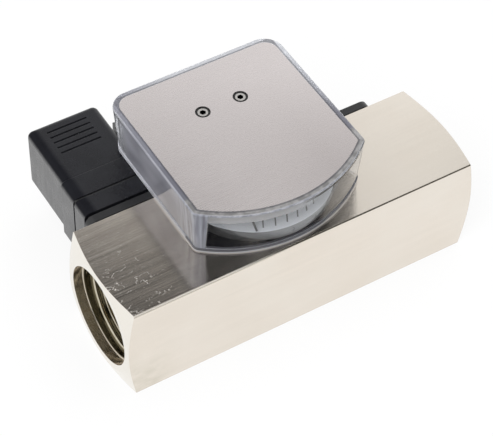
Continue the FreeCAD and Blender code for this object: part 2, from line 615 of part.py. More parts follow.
def make_piston():
    """Orifice piston, its ring magnet and its rear guide ring."""
    piston = new_body("piston")
    half = new_sketch(piston, "half", "XZ_Plane", up=AXIS_Z)
    flange_end = f"({PISTON_X} + Sizes.piston_flange)"
    wall_end = f"({PISTON_X} + Sizes.orifice_depth)"
    outline(half, [
        (PISTON_X, ORIFICE_RADIUS), (wall_end, ORIFICE_RADIUS), (wall_end, STEM_BORE),
        (STEM_END_X, STEM_BORE), (STEM_END_X, "Sizes.stem_radius"),
        (flange_end, "Sizes.stem_radius"), (flange_end, PISTON_RADIUS), (PISTON_X, PISTON_RADIUS)])
    revolve(piston, "Revolution", half, "H_Axis")
    magnet_end = f"({flange_end} + Sizes.magnet_length)"
    stem = "Sizes.stem_radius + Sizes.fit_gap"
    make_collar("piston_magnet", flange_end, magnet_end, stem, f"{PISTON_RADIUS} - Sizes.magnet_recess")
    make_collar("piston_guide_ring", magnet_end, STEM_END_X, stem, PISTON_RADIUS)


def make_collar(name, start, end, inner, outer):
    """A plain ring round the flow axis."""
    collar = new_body(name)
    half = new_sketch(collar, "half", "XZ_Plane", up=AXIS_Z)
    outline(half, [(start, inner), (end, inner), (end, outer), (start, outer)])
    revolve(collar, "Revolution", half, "H_Axis")


def make_spring():
    """Coil spring with closed ends, lofted through wire sections set round a helix."""
    start = f"({PISTON_X} + Sizes.orifice_depth + Sizes.spring_wire / 2 + Sizes.fit_gap)"
    length = f"({OUTLET_X} - {start} - Sizes.spring_wire / 2)"
    closed_pitch = "(1.1 * Sizes.spring_wire)"
    open_length = f"({length} - 2 * {closed_pitch})"
    turns = round(value("Sizes.spring_turns"))
    sections = []
    for step in range(turns * SPRING_STEPS + 1):
        turn = step / SPRING_STEPS
        closed_turns = min(turn, 1) + max(turn - (turns - 1), 0)
        open_share = min(max(turn - 1, 0), turns - 2) / (turns - 2)
        angle = 360 * turn
        section = doc.addObject("Part::RegularPolygon", f"spring_section_{step}")
        section.Polygon = SPRING_SIDES
        section.setExpression("Circumradius", "Sizes.spring_wire / 2")
        section.Placement = FreeCAD.Placement(FreeCAD.Vector(), FreeCAD.Rotation(X_AXIS, 90 - angle))
        section.setExpression("Placement.Base.x",
                              f"{start} + {closed_turns} * {closed_pitch} + {open_share} * {open_length}")
        section.setExpression("Placement.Base.y", f"{SPRING_RADIUS} * sin({angle})")
        section.setExpression("Placement.Base.z", f"{AXIS_Z} + {SPRING_RADIUS} * cos({angle})")
        sections.append(section)
    spring = doc.addObject("Part::Loft", "return_spring")
    spring.Sections = sections
    spring.Solid = True
    spring.Ruled = True
    alone(spring, "return_spring")


def make_retaining_rings():
    """The two open spring rings that hold the spiders."""
    starts = (f"{INLET_X} - Sizes.spider_thickness - Sizes.ring_thickness",
              f"{OUTLET_X} + Sizes.seat_thickness")
    outer = f"({GROOVE_RADIUS} - Sizes.fit_gap)"
    inner = f"({outer} - Sizes.ring_width)"
    rings = []
    for number, start in enumerate(starts):
        disc = rod(f"ring_disc_{number}", (start, "0", AXIS_Z), "x", outer, "Sizes.ring_thickness")
        hole = rod(f"ring_hole_{number}", (start, "0", AXIS_Z), "x", inner, "Sizes.ring_thickness")
        disc.setExpression("Angle", "360 - Sizes.ring_gap_angle")
        rings.append(joined(f"ring_{number}", "Cut", disc, hole))
    grouped("retaining_rings", rings)


def make_back_plate():
    """Plate on the bar's back, with countersunk holes and the slot for the leads."""
    piece = new_body("back_plate")
    left, right = PLATE_LEFT, "Sizes.plate_right"
    face = new_sketch(piece, "face", "XZ_Plane", f"-{BACK_Y}")
    low = "Sizes.plate_bottom"
    outline(face, [(left, low), (right, low), (right, TOP_Z), (left, TOP_Z)])
    extrude(piece, "Pad", face, "Sizes.plate_thickness", backwards=True)
    dress(piece, "Fillet", "corners", "Sizes.plate_corner", lambda e: straight_along(e, Y_AXIS))
    holes = new_sketch(piece, "holes", "XZ_Plane", f"-{BACK_Y}")
    for across, up in plate_screw_places():
        circle(holes, across, up, "Sizes.plate_screw_radius + Sizes.fit_gap")
    for across, up in housing_screw_places():
        circle(holes, across, up, "Sizes.housing_screw_radius + Sizes.fit_gap")
    for across, up in base_screw_places():
        circle(holes, across, up, "Sizes.base_screw_radius + Sizes.fit_gap")
    extrude(piece, "Pocket", holes, "Sizes.plate_thickness")
    sinks = new_sketch(piece, "sinks", "XZ_Plane", f"-{PLATE_Y}")
    for across, up in plate_screw_places():
        circle(sinks, across, up, "Sizes.plate_screw_head + Sizes.fit_gap")
    extrude(piece, "Pocket", sinks, "Sizes.plate_thickness / 2", backwards=True)
    slot = new_sketch(piece, "wire_slot", "XZ_Plane", f"-{BACK_Y}")
    slot_left = f"{PLUG_X} - {GASKET_WINDOW} / 2"
    slot_right = f"Sizes.head_x - {BOARD_HALF_WIDTH} + 2 * Sizes.housing_screw_inset"
    low = f"{PLUG_Z} - Sizes.wire_slot_height / 2"
    high = f"{PLUG_Z} + Sizes.wire_slot_height / 2"
    outline(slot, [(slot_left, low), (slot_right, low), (slot_right, high), (slot_left, high)])
    extrude(piece, "Pocket", slot, "Sizes.plate_thickness")


def make_plate_screws():
    """Four cheese-head screws that hold the back plate to the bar."""
    screws = []
    head = "Sizes.plate_thickness / 2"
    for number, (across, up) in enumerate(plate_screw_places()):
        name = f"plate_screw_{number}"
        top = rod(f"{name}_head", (across, f"{PLATE_Y} - {head}", up), "y", "Sizes.plate_screw_head", head)
        tip = f"{BACK_Y} - Sizes.plate_screw_depth"
        length = f"Sizes.plate_screw_depth + Sizes.plate_thickness - {head}"
        shank = rod(f"{name}_shank", (across, tip, up), "y", "Sizes.plate_screw_radius", length)
        whole = joined(f"{name}_whole", "Fuse", top, shank)
        drive = hexagon(f"{name}_drive", (across, f"{PLATE_Y} - {head} / 2", up), "y",
                        "Sizes.plate_screw_radius * 1.25", f"{head}")
        screws.append(joined(name, "Cut", whole, drive))
    grouped("plate_screws", screws)


def housing_screw_places():
    """Where the four screws through board, housing and plate stand."""
    reach = f"({BOARD_HALF_WIDTH} - Sizes.housing_screw_inset)"
    low = f"({BOARD_BOTTOM} + Sizes.housing_screw_inset)"
    high = f"({BOARD_BOTTOM} + {BOARD_HEIGHT} - Sizes.housing_screw_inset)"
    return [(f"(Sizes.head_x + {side} * {reach})", up) for side in SIDES for up in (low, high)]


def cover_screw_x(side):
    """Place of a cover screw along the bar."""
    return f"(Sizes.head_x + {side} * Sizes.screw_spacing / 2)"


def make_switch_housing():
    """Open box behind the plate, with the pivot's boss and the two screw posts."""
    piece = new_body("switch_housing")
    left, back = HOUSING_LEFT, HOUSING_BACK
    right = "(Sizes.head_x + Sizes.housing_half_width)"
    wall = "Sizes.housing_wall"
    box = new_sketch(piece, "box", "XY_Plane", "Sizes.housing_bottom")
    outline(box, [(left, PLATE_Y), (right, PLATE_Y), (right, back), (left, back)])
    extrude(piece, "Pad", box, f"{TOP_Z} - Sizes.housing_bottom")
    middle = value(f"({PLATE_Y} + {HOUSING_BACK}) / 2")
    dress(piece, "Fillet", "corners", "Sizes.housing_corner",
          lambda e: straight_along(e, Z_AXIS) and e.CenterOfMass.y > middle)
    flange = new_sketch(piece, "flange", "XY_Plane", TOP_Z)
    far = "(Sizes.head_x + Sizes.cover_half_width - Sizes.cover_wall - Sizes.end_gap)"
    rear = f"({PIVOT_Y} + Sizes.cover_back - Sizes.cover_wall - Sizes.end_gap)"
    outline(flange, [(left, PLATE_Y), (far, PLATE_Y), (far, rear), (left, rear)])
    extrude(piece, "Pad", flange, wall, backwards=True)
    corner = value(far)
    dress(piece, "Fillet", "flange_corner", "Sizes.cover_rear_corner - Sizes.cover_wall",
          lambda e: straight_along(e, Z_AXIS) and abs(e.CenterOfMass.x - corner) < SMALL
          and e.CenterOfMass.y > middle)
    inside = new_sketch(piece, "inside", "XY_Plane", TOP_Z)
    in_left, in_right = f"{left} + {wall}", f"{right} - {wall}"
    in_front, in_back = f"{PLATE_Y} + {wall}", f"{back} - {wall}"
    outline(inside, [(in_left, in_front), (in_right, in_front), (in_right, in_back), (in_left, in_back)])
    extrude(piece, "Pocket", inside, f"{TOP_Z} - {FLOOR_Z}")
    floor = value(FLOOR_Z)
    dress(piece, "Fillet", "inner_corners", f"Sizes.housing_corner - {wall}",
          lambda e: straight_along(e, Z_AXIS) and e.CenterOfMass.y > middle
          and abs(min(v.Z for v in e.Vertexes) - floor) < SMALL)
    posts = new_sketch(piece, "posts", "XY_Plane", "Sizes.housing_bottom")
    for side in SIDES:
        circle(posts, cover_screw_x(side), SCREW_Y, "Sizes.post_radius")
    extrude(piece, "Pad", posts, f"{CEILING} - Sizes.housing_bottom")
    boss = new_sketch(piece, "boss", "XY_Plane", "Sizes.housing_bottom")
    circle(boss, "Sizes.head_x", PIVOT_Y, "Sizes.boss_radius")
    extrude(piece, "Pad", boss, f"{BOSS_TOP} - Sizes.housing_bottom")
    pilots = new_sketch(piece, "pilots", "XY_Plane", CEILING)
    for side in SIDES:
        circle(pilots, cover_screw_x(side), SCREW_Y, "Sizes.screw_radius + Sizes.fit_gap")
    extrude(piece, "Pocket", pilots, "Sizes.screw_length")
    seat = new_sketch(piece, "pin_seat", "XY_Plane", BOSS_TOP)
    circle(seat, "Sizes.head_x", PIVOT_Y, "Sizes.pin_radius")
    extrude(piece, "Pocket", seat, "Sizes.pin_seat")
    holes = new_sketch(piece, "screw_holes", "XZ_Plane", f"-{PLATE_Y}")
    for across, up in housing_screw_places():
        circle(holes, across, up, "Sizes.housing_screw_radius + Sizes.fit_gap")
    leads = f"Sizes.head_x - {BOARD_HALF_WIDTH} + Sizes.housing_screw_inset"
    circle(holes, leads, PLUG_Z, "Sizes.wire_slot_height / 3")
    extrude(piece, "Pocket", holes, wall)


def make_switch():
    """Board, reed contact and the screws that hold board and housing."""
    left = f"Sizes.head_x - {BOARD_HALF_WIDTH}"
    board = block("switch_board_blank", (left, BOARD_Y, BOARD_BOTTOM),
                  (f"2 * {BOARD_HALF_WIDTH}", "Sizes.board_thickness", BOARD_HEIGHT))
    for number, (across, up) in enumerate(housing_screw_places()):
        hole = rod(f"board_hole_{number}", (across, BOARD_Y, up), "y",
                   "Sizes.housing_screw_radius + Sizes.fit_gap", "Sizes.board_thickness")
        board = joined(f"switch_board_{number}", "Cut", board, hole)
    alone(board, "switch_board")
    screws = []
    for number, (across, up) in enumerate(housing_screw_places()):
        name = f"housing_screw_{number}"
        head = rod(f"{name}_head", (across, BOARD_BACK, up), "y", "Sizes.housing_screw_head",
                   "Sizes.housing_screw_height")
        length = "Sizes.plate_thickness + Sizes.housing_wall + Sizes.board_thickness"
        shank = rod(f"{name}_shank", (across, BACK_Y, up), "y", "Sizes.housing_screw_radius", length)
        screws.append(joined(name, "Fuse", head, shank))
    grouped("housing_screws", screws)
    reed = new_body("reed_switch")
    half = new_sketch(reed, "half", "XZ_Plane", f"-({BOARD_BACK} + Sizes.reed_radius)", up=AXIS_Z)
    wall_x = f"({HOUSING_LEFT} + Sizes.housing_wall)"
    post_x = "(Sizes.head_x - Sizes.screw_spacing / 2 - Sizes.post_radius)"
    middle = f"(({wall_x} + {post_x}) / 2)"
    glass = "(Sizes.reed_length / 2)"
    shoulder = "(Sizes.reed_length / 2 - Sizes.reed_radius)"
    tip = "(Sizes.reed_length / 2 + Sizes.lead_length)"
    outline(half, [
        (f"{middle} - {tip}", "0"), (f"{middle} + {tip}", "0"), (f"{middle} + {tip}", "Sizes.lead_radius"),
        (f"{middle} + {glass}", "Sizes.lead_radius"), (f"{middle} + {shoulder}", "Sizes.reed_radius"),
        (f"{middle} - {shoulder}", "Sizes.reed_radius"), (f"{middle} - {glass}", "Sizes.lead_radius"),
        (f"{middle} - {tip}", "Sizes.lead_radius")])
    revolve(reed, "Revolution", half, "H_Axis")


def turned_with_pointer(piece):
    """Puts a body that is drawn about the pivot at the pointer's rest angle."""
    piece.Placement = FreeCAD.Placement(FreeCAD.Vector(), FreeCAD.Rotation(Z_AXIS, 1))
    piece.setExpression("Placement.Base.x", "Sizes.head_x")
    piece.setExpression("Placement.Base.y", PIVOT_Y)
    piece.setExpression("Placement.Rotation.Angle", "-Sizes.pointer_rest_angle")


def make_pointer():
    """Arm with its bush, magnet, weight and needle, drawn about the pivot."""
    arm = new_body("pointer_arm")
    turned_with_pointer(arm)
    blade = new_sketch(arm, "blade", "XY_Plane", ARM_Z)
    root, tip = "Sizes.arm_width / 2", "Sizes.arm_tip_width / 2"
    tail = "Sizes.arm_tail"
    outline(blade, [(f"-{tip}", f"-{ARM_END}"), (tip, f"-{ARM_END}"), (root, "0"), (root, tail),
                    (f"-{root}", tail), (f"-{root}", "0")])
    extrude(arm, "Pad", blade, "Sizes.arm_thickness")
    hub = new_sketch(arm, "hub", "XY_Plane", ARM_Z)
    circle(hub, "0", "0", "Sizes.arm_hub_radius")
    extrude(arm, "Pad", hub, "Sizes.arm_hub_height")
    cup = new_sketch(arm, "cup", "XY_Plane", ARM_Z)
    circle(cup, "0", f"-{PIVOT_Y}", "Sizes.follower_radius + Sizes.follower_wall")
    extrude(arm, "Pad", cup, "Sizes.follower_floor + Sizes.follower_height")
    pad = new_sketch(arm, "pad", "XY_Plane", ARM_Z)
    circle(pad, "0", tail, "Sizes.weight_radius")
    extrude(arm, "Pad", pad, "Sizes.arm_thickness")
    bores = new_sketch(arm, "bores", "XY_Plane", HUB_TOP)
    circle(bores, "0", "0", "Sizes.pin_radius + Sizes.running_gap + Sizes.bush_wall")
    extrude(arm, "Pocket", bores, "Sizes.arm_hub_height")
    nest = new_sketch(arm, "nest", "XY_Plane", f"{ARM_Z} + Sizes.follower_floor + Sizes.follower_height")
    circle(nest, "0", f"-{PIVOT_Y}", "Sizes.follower_radius")
    extrude(arm, "Pocket", nest, "Sizes.follower_height")
    magnet_z = f"{ARM_Z} + Sizes.follower_floor"
    make_arm_disc("follower_magnet", f"-{PIVOT_Y}", magnet_z, "Sizes.follower_radius - Sizes.fit_gap",
                  "Sizes.follower_height")
    weight_z = f"{ARM_Z} + Sizes.arm_thickness"
    make_arm_disc("counterweight", tail, weight_z, "Sizes.weight_radius", "Sizes.weight_height")
    bush = new_body("pointer_bush")
    turned_with_pointer(bush)
    ring = new_sketch(bush, "ring", "XY_Plane", ARM_Z)
    circle(ring, "0", "0", "Sizes.pin_radius + Sizes.running_gap + Sizes.bush_wall")
    circle(ring, "0", "0", "Sizes.pin_radius + Sizes.running_gap")
    extrude(bush, "Pad", ring, "Sizes.arm_hub_height")
    needle = new_body("pointer_tip")
    turned_with_pointer(needle)
    hand = new_sketch(needle, "hand", "XY_Plane", ARM_Z)
    middle = f"-({TIP_RADIUS} + {ARM_END}) / 2"
    rectangle(hand, "0", middle, "Sizes.tip_width", f"({TIP_RADIUS} - {ARM_END})")
    extrude(needle, "Pad", hand, "Sizes.tip_thickness")


def make_arm_disc(name, along, height, radius, thickness):
    """A disc that rides on the pointer arm."""
    disc = new_body(name)
    turned_with_pointer(disc)
    round_face = new_sketch(disc, "round", "XY_Plane", height)
    circle(round_face, "0", along, radius)
    extrude(disc, "Pad", round_face, thickness)


def make_pivot():
    """Grooved pivot pin in its boss, and the clip over the pointer's hub."""
    pin = new_body("pivot_pin")
    half = new_sketch(pin, "half", "XZ_Plane", f"-{PIVOT_Y}", across="Sizes.head_x")
    foot = f"({BOSS_TOP} - Sizes.pin_seat)"
    clip_low = f"({HUB_TOP} + Sizes.end_gap)"
    clip_high = f"({clip_low} + Sizes.clip_thickness)"
    neck = "(Sizes.pin_radius - Sizes.pin_groove)"
    top = f"({HUB_TOP} + Sizes.pin_head)"
    outline(half, [
        ("0", foot), ("Sizes.pin_radius", foot), ("Sizes.pin_radius", clip_low), (neck, clip_low),
        (neck, clip_high), ("Sizes.pin_radius", clip_high), ("Sizes.pin_radius", top), ("0", top)])
    revolve(pin, "Revolution", half, "V_Axis")
    clip = new_body("pivot_clip")
    ring = new_sketch(clip, "ring", "XY_Plane", clip_low, across="Sizes.head_x", up=PIVOT_Y)
    circle(ring, "0", "0", "Sizes.clip_radius")
    circle(ring, "0", "0", neck)
    extrude(clip, "Pad", ring, "Sizes.clip_thickness")
    mouth = new_sketch(clip, "mouth", "XY_Plane", clip_high, across="Sizes.head_x", up=PIVOT_Y)
    rectangle(mouth, "0", "Sizes.clip_radius / 2", f"1.6 * {neck}", "Sizes.clip_radius * 1.2")
    extrude(clip, "Pocket", mouth, "Sizes.clip_thickness")


def fan_corners(half_width, front_radius, back):
    """Corners of a fan shape about the pivot: two at the front arc, two at the back."""
    front = f"({PIVOT_Y} - sqrt({front_radius}^2 - {half_width}^2))"
    left = f"(Sizes.head_x - {half_width})"
    right = f"(Sizes.head_x + {half_width})"
    rear = f"({PIVOT_Y} + {back})"
    return [(left, front), (right, front), (right, rear), (left, rear)]


def is_upright(edge):
    """True for an edge that runs from one height to another, upright or leaning a little."""
    ends = [vertex.Z for vertex in edge.Vertexes]
    return max(ends) - min(ends) > 0.9 * edge.Length


def round_fan(piece, rear_radius, front_radius, wanted):
    """Rounds the upright edges of a fan shape at its back and at its front."""
    pivot = value(PIVOT_Y)
    dress(piece, "Fillet", f"rear_{len(piece.Group)}", rear_radius,
          lambda e: is_upright(e) and wanted(e) and e.CenterOfMass.y > pivot)
    dress(piece, "Fillet", f"front_{len(piece.Group)}", front_radius,
          lambda e: is_upright(e) and wanted(e) and e.CenterOfMass.y < pivot)


def make_clear_cover():
    """Clear fan-shaped cover: a thin-walled cap, wider at its top, with a lip and the plate's recess."""
    piece = new_body("clear_cover")
    half, radius, back = "Sizes.cover_half_width", "Sizes.cover_front_radius", "Sizes.cover_back"
    wall = "Sizes.cover_wall"
    foot = new_sketch(piece, "foot", "XY_Plane", TOP_Z)
    outline(foot, fan_corners(half, radius, back), {0: radius})
    top = new_sketch(piece, "top", "XY_Plane", COVER_TOP)
    outline(top, fan_corners(COVER_TOP_HALF, COVER_TOP_RADIUS, COVER_TOP_BACK), {0: COVER_TOP_RADIUS})
    cap = piece.newObject("PartDesign::AdditiveLoft", "clear_cover_cap")
    cap.Profile = top
    cap.Sections = [foot]
    cap.Ruled = True
    doc.recompute()
    round_fan(piece, "Sizes.cover_rear_corner", "Sizes.cover_front_corner", lambda e: True)
    recess = new_sketch(piece, "recess", "XY_Plane", COVER_TOP)
    outline(recess, top_plate_corners("0"), {0: top_plate_radius("0")})
    extrude(piece, "Pocket", recess, "Sizes.top_plate_thickness")
    web = value(WEB_TOP)
    round_fan(piece, "Sizes.cover_rear_corner - Sizes.top_plate_inset", "Sizes.cover_front_corner / 2",
              lambda e: abs(min(v.Z for v in e.Vertexes) - web) < SMALL)
    rim = rim_of(piece, Z_AXIS, COVER_TOP)
    dress(piece, "Fillet", "top_edge", "Sizes.cover_edge", lambda e: is_one_of(e, rim))
    lip = new_sketch(piece, "lip", "XY_Plane", TOP_Z)
    lip_half, lip_radius = f"({half} + Sizes.lip_width)", f"({radius} + Sizes.lip_width)"
    outline(lip, fan_corners(lip_half, lip_radius, f"({back} + Sizes.lip_width)"), {0: lip_radius})
    extrude(piece, "Pad", lip, "Sizes.lip_height")
    high = value(f"{TOP_Z} + Sizes.lip_height")
    rear_corner = "Sizes.cover_rear_corner + Sizes.lip_width"
    front_corner = "Sizes.cover_front_corner + Sizes.lip_width"
    round_fan(piece, rear_corner, front_corner, lambda e: max(v.Z for v in e.Vertexes) < high + SMALL)
    hollow = new_sketch(piece, "hollow", "XY_Plane", TOP_Z)
    in_half, in_radius = f"({half} - {wall})", f"({radius} - {wall})"
    outline(hollow, fan_corners(in_half, in_radius, f"({back} - {wall})"), {0: in_radius})
    extrude(piece, "Pocket", hollow, f"{CEILING} - {TOP_Z}", backwards=True)
    ceiling = value(CEILING)
    round_fan(piece, f"Sizes.cover_rear_corner - {wall}", f"Sizes.cover_front_corner - {wall} / 2",
              lambda e: abs(max(v.Z for v in e.Vertexes) - ceiling) < SMALL)
    sinks = new_sketch(piece, "screw_sinks", "XY_Plane", WEB_TOP)
    holes = new_sketch(piece, "screw_holes", "XY_Plane", WEB_TOP)
    for side in SIDES:
        circle(sinks, cover_screw_x(side), SCREW_Y, "Sizes.screw_recess_radius")
        circle(holes, cover_screw_x(side), SCREW_Y, "Sizes.screw_radius + Sizes.fit_gap")
    head = "(Sizes.screw_sunk + Sizes.screw_head_height - Sizes.top_plate_thickness)"
    extrude(piece, "Pocket", sinks, head)
    extrude(piece, "Pocket", holes, "Sizes.cover_web")


def top_plate_radius(gap):
    """Front radius of the steel plate, less a clearance."""
    return f"({COVER_TOP_RADIUS} - Sizes.top_plate_inset - {gap})"


def top_plate_corners(gap):
    """Corners of the steel plate, less a clearance."""
    half = f"({COVER_TOP_HALF} - Sizes.top_plate_inset - {gap})"
    return fan_corners(half, top_plate_radius(gap), f"({COVER_TOP_BACK} - Sizes.top_plate_inset - {gap})")


def make_top_plate():
    """Brushed plate in the cover's top, with two screw holes."""
    piece = new_body("top_plate")
    face = new_sketch(piece, "face", "XY_Plane", WEB_TOP)
    outline(face, top_plate_corners("Sizes.fit_gap"), {0: top_plate_radius("Sizes.fit_gap")})
    extrude(piece, "Pad", face, "Sizes.top_plate_thickness")
    round_fan(piece, "Sizes.cover_rear_corner - Sizes.top_plate_inset", "Sizes.cover_front_corner / 2",
              lambda e: True)
    holes = new_sketch(piece, "holes", "XY_Plane", COVER_TOP)
    for side in SIDES:
        circle(holes, cover_screw_x(side), SCREW_Y, "Sizes.screw_recess_radius")
    extrude(piece, "Pocket", holes, "Sizes.top_plate_thickness")


def make_cover_screws():
    """Two socket screws through plate, cover and dial carrier into the posts, and their ring seals."""
    screws, seals = [], []
    seat = f"({COVER_TOP} - Sizes.screw_sunk - Sizes.screw_head_height)"
    seal_height = f"({COVER_TOP} - Sizes.screw_seal_sunk - {seat})"
    for number, side in enumerate(SIDES):
        name = f"cover_screw_{number}"
        across = cover_screw_x(side)
        head = rod(f"{name}_head", (across, SCREW_Y, seat), "z", "Sizes.screw_head_radius",
                   "Sizes.screw_head_height")
        shank = rod(f"{name}_shank", (across, SCREW_Y, f"{seat} - Sizes.screw_length"), "z",
                    "Sizes.screw_radius", "Sizes.screw_length")
        whole = joined(f"{name}_whole", "Fuse", head, shank)
        half = "Sizes.screw_head_height / 2"
        socket = hexagon(f"{name}_socket", (across, SCREW_Y, f"{seat} + {half}"), "z",
                         "Sizes.screw_socket", half)
        screws.append(joined(name, "Cut", whole, socket))
        disc = rod(f"screw_seal_{number}_disc", (across, SCREW_Y, seat), "z",
                   "Sizes.screw_recess_radius - Sizes.fit_gap", seal_height)
        eye = rod(f"screw_seal_{number}_eye", (across, SCREW_Y, seat), "z",
                  "Sizes.screw_head_radius + Sizes.fit_gap", seal_height)
        seals.append(joined(f"screw_seal_{number}", "Cut", disc, eye))
    grouped("cover_screws", screws)
    grouped("screw_seals", seals)


def dial_outline(drawing, radius, back):
    """A piece of a disc over the bar, cut off straight at its back."""
    half = f"sqrt({radius}^2 - ({DIAL_Y} - {back})^2)"
    left, right = f"(Sizes.head_x - {half})", f"(Sizes.head_x + {half})"
    outline(drawing, [(left, back), (right, back)], {0: radius})


def make_dial():
    """Carrier that floors the cover, and the white dial with its turned-down edge."""
    carrier = new_body("dial_carrier")
    face = new_sketch(carrier, "face", "XY_Plane", TOP_Z)
    inset = "(Sizes.cover_wall + Sizes.carrier_gap)"
    half, radius = f"(Sizes.cover_half_width - {inset})", f"(Sizes.cover_front_radius - {inset})"
    outline(face, fan_corners(half, radius, f"(Sizes.cover_back - {inset})"), {0: radius})
    extrude(carrier, "Pad", face, "Sizes.carrier_thickness")
    round_fan(carrier, f"Sizes.cover_rear_corner - {inset}", "Sizes.cover_front_corner / 2", lambda e: True)
    holes = new_sketch(carrier, "holes", "XY_Plane", CARRIER_TOP)
    circle(holes, "Sizes.head_x", PIVOT_Y, "Sizes.boss_radius + Sizes.fit_gap")
    for side in SIDES:
        circle(holes, cover_screw_x(side), SCREW_Y, "Sizes.post_radius + Sizes.fit_gap")
    extrude(carrier, "Pocket", holes, "Sizes.carrier_thickness")
    dial = new_body("scale_band")
    blank = new_sketch(dial, "blank", "XY_Plane", CARRIER_TOP)
    dial_outline(blank, "Sizes.dial_radius", DIAL_BACK)
    extrude(dial, "Pad", blank, "Sizes.dial_height")
    inside = new_sketch(dial, "inside", "XY_Plane", CARRIER_TOP)
    wall = "Sizes.dial_thickness"
    dial_outline(inside, f"(Sizes.dial_radius - {wall})", f"({DIAL_BACK} + {wall})")
    extrude(dial, "Pocket", inside, f"Sizes.dial_height - {wall}", backwards=True)


def base_screw_places():
    """Where the socket's four screws stand, across and up."""
    return [(f"({PLUG_X} + {side} * {BASE_SCREW_SIDE})",
             f"({PLUG_Z} + {rise} * {BASE_SCREW_RISE})") for side in SIDES for rise in SIDES]


def make_frame_seal(name, start, thickness, inset, window_width, window_height):
    """A square seal with a window, in the connector's section."""
    piece = new_body(name)
    face = new_sketch(piece, "face", "XZ_Plane", f"-{start}")
    rectangle(face, PLUG_X, PLUG_Z, f"(Sizes.plug_width - 2 * {inset})",
              f"(Sizes.plug_height - 2 * {inset})")
    rectangle(face, PLUG_X, PLUG_Z, window_width, window_height)
    extrude(piece, "Pad", face, thickness, backwards=True)
    return piece


def blade_places():
    """Contact blades: offset across, offset up, width across, width up."""
    side, upright = BLADE_SIDE, BLADE_RISE
    wide, thin = "Sizes.blade_width", "Sizes.blade_thickness"
    return [(f"-{side}", "0", thin, wide), (side, "0", thin, wide),
            ("0", f"-{upright}", wide, thin), ("0", upright, wide, thin)]


def cut_blade_slots(piece, start, depth):
    """Cuts the slots of the contact blades through a piece of the connector."""
    slots = new_sketch(piece, "blade_slots", "XZ_Plane", f"-{start}")
    gap = "2 * Sizes.fit_gap"
    for across, up, width, height in blade_places():
        rectangle(slots, f"({PLUG_X} + {across})", f"({PLUG_Z} + {up})",
                  f"({width} + {gap})", f"({height} + {gap})")
    extrude(piece, "Pocket", slots, depth)


def make_socket():
    """Socket on the back plate: seal, flange with its core, blades and screws."""
    seal = make_frame_seal("base_gasket", PLATE_Y, "Sizes.gasket_thickness", "Sizes.gasket_inset",
                           GASKET_WINDOW, GASKET_WINDOW)
    ways = new_sketch(seal, "screw_ways", "XZ_Plane", f"-{PLATE_Y}")
    for across, up in base_screw_places():
        circle(ways, across, up, "Sizes.base_screw_radius + Sizes.fit_gap")
    extrude(seal, "Pocket", ways, "Sizes.gasket_thickness")
    base = new_body("socket_base")
    flange = new_sketch(base, "flange", "XZ_Plane", f"-{BASE_Y}")
    rectangle(flange, PLUG_X, PLUG_Z, "Sizes.plug_width", "Sizes.plug_height")
    extrude(base, "Pad", flange, "Sizes.base_depth", backwards=True)
    dress(base, "Fillet", "edges", "Sizes.plug_corner", lambda e: straight_along(e, Y_AXIS))
    core = new_sketch(base, "core", "XZ_Plane", f"-{BASE_BACK}")
    rectangle(core, PLUG_X, PLUG_Z, CORE_WIDTH, CORE_HEIGHT)
    extrude(base, "Pad", core, "Sizes.core_depth", backwards=True)
    root = f"({BASE_Y} + Sizes.blade_root)"
    cut_blade_slots(base, root, f"{CORE_BACK} - {root}")
    thread = new_sketch(base, "thread", "XZ_Plane", f"-{root}")
    circle(thread, PLUG_X, PLUG_Z, "Sizes.plug_screw_radius + Sizes.fit_gap")
    extrude(base, "Pocket", thread, f"{CORE_BACK} - {root}")
    sinks = new_sketch(base, "screw_sinks", "XZ_Plane", f"-({BASE_BACK} - Sizes.base_screw_height)")
    ways = new_sketch(base, "screw_ways", "XZ_Plane", f"-{BASE_Y}")
    for across, up in base_screw_places():
        circle(sinks, across, up, "Sizes.base_screw_head + Sizes.fit_gap")
        circle(ways, across, up, "Sizes.base_screw_radius + Sizes.fit_gap")
    extrude(base, "Pocket", sinks, "Sizes.base_screw_height")
    extrude(base, "Pocket", ways, "Sizes.base_depth")
    blades = []
    for number, (across, up, width, height) in enumerate(blade_places()):
        low = (f"{PLUG_X} + {across} - {width} / 2", root, f"{PLUG_Z} + {up} - {height} / 2")
        blades.append(block(f"contact_blade_{number}", low, (width, "Sizes.blade_length", height)))
    grouped("contact_pins", blades)
    screws = []
    seat = f"({BASE_BACK} - Sizes.base_screw_height)"
    for number, (across, up) in enumerate(base_screw_places()):
        name = f"base_screw_{number}"
        head = rod(f"{name}_head", (across, seat, up), "y", "Sizes.base_screw_head",
                   "Sizes.base_screw_height")
        shank = rod(f"{name}_shank", (across, BACK_Y, up), "y", "Sizes.base_screw_radius",
                    f"{seat} - {BACK_Y}")
        screws.append(joined(name, "Fuse", head, shank))
    grouped("base_screws", screws)


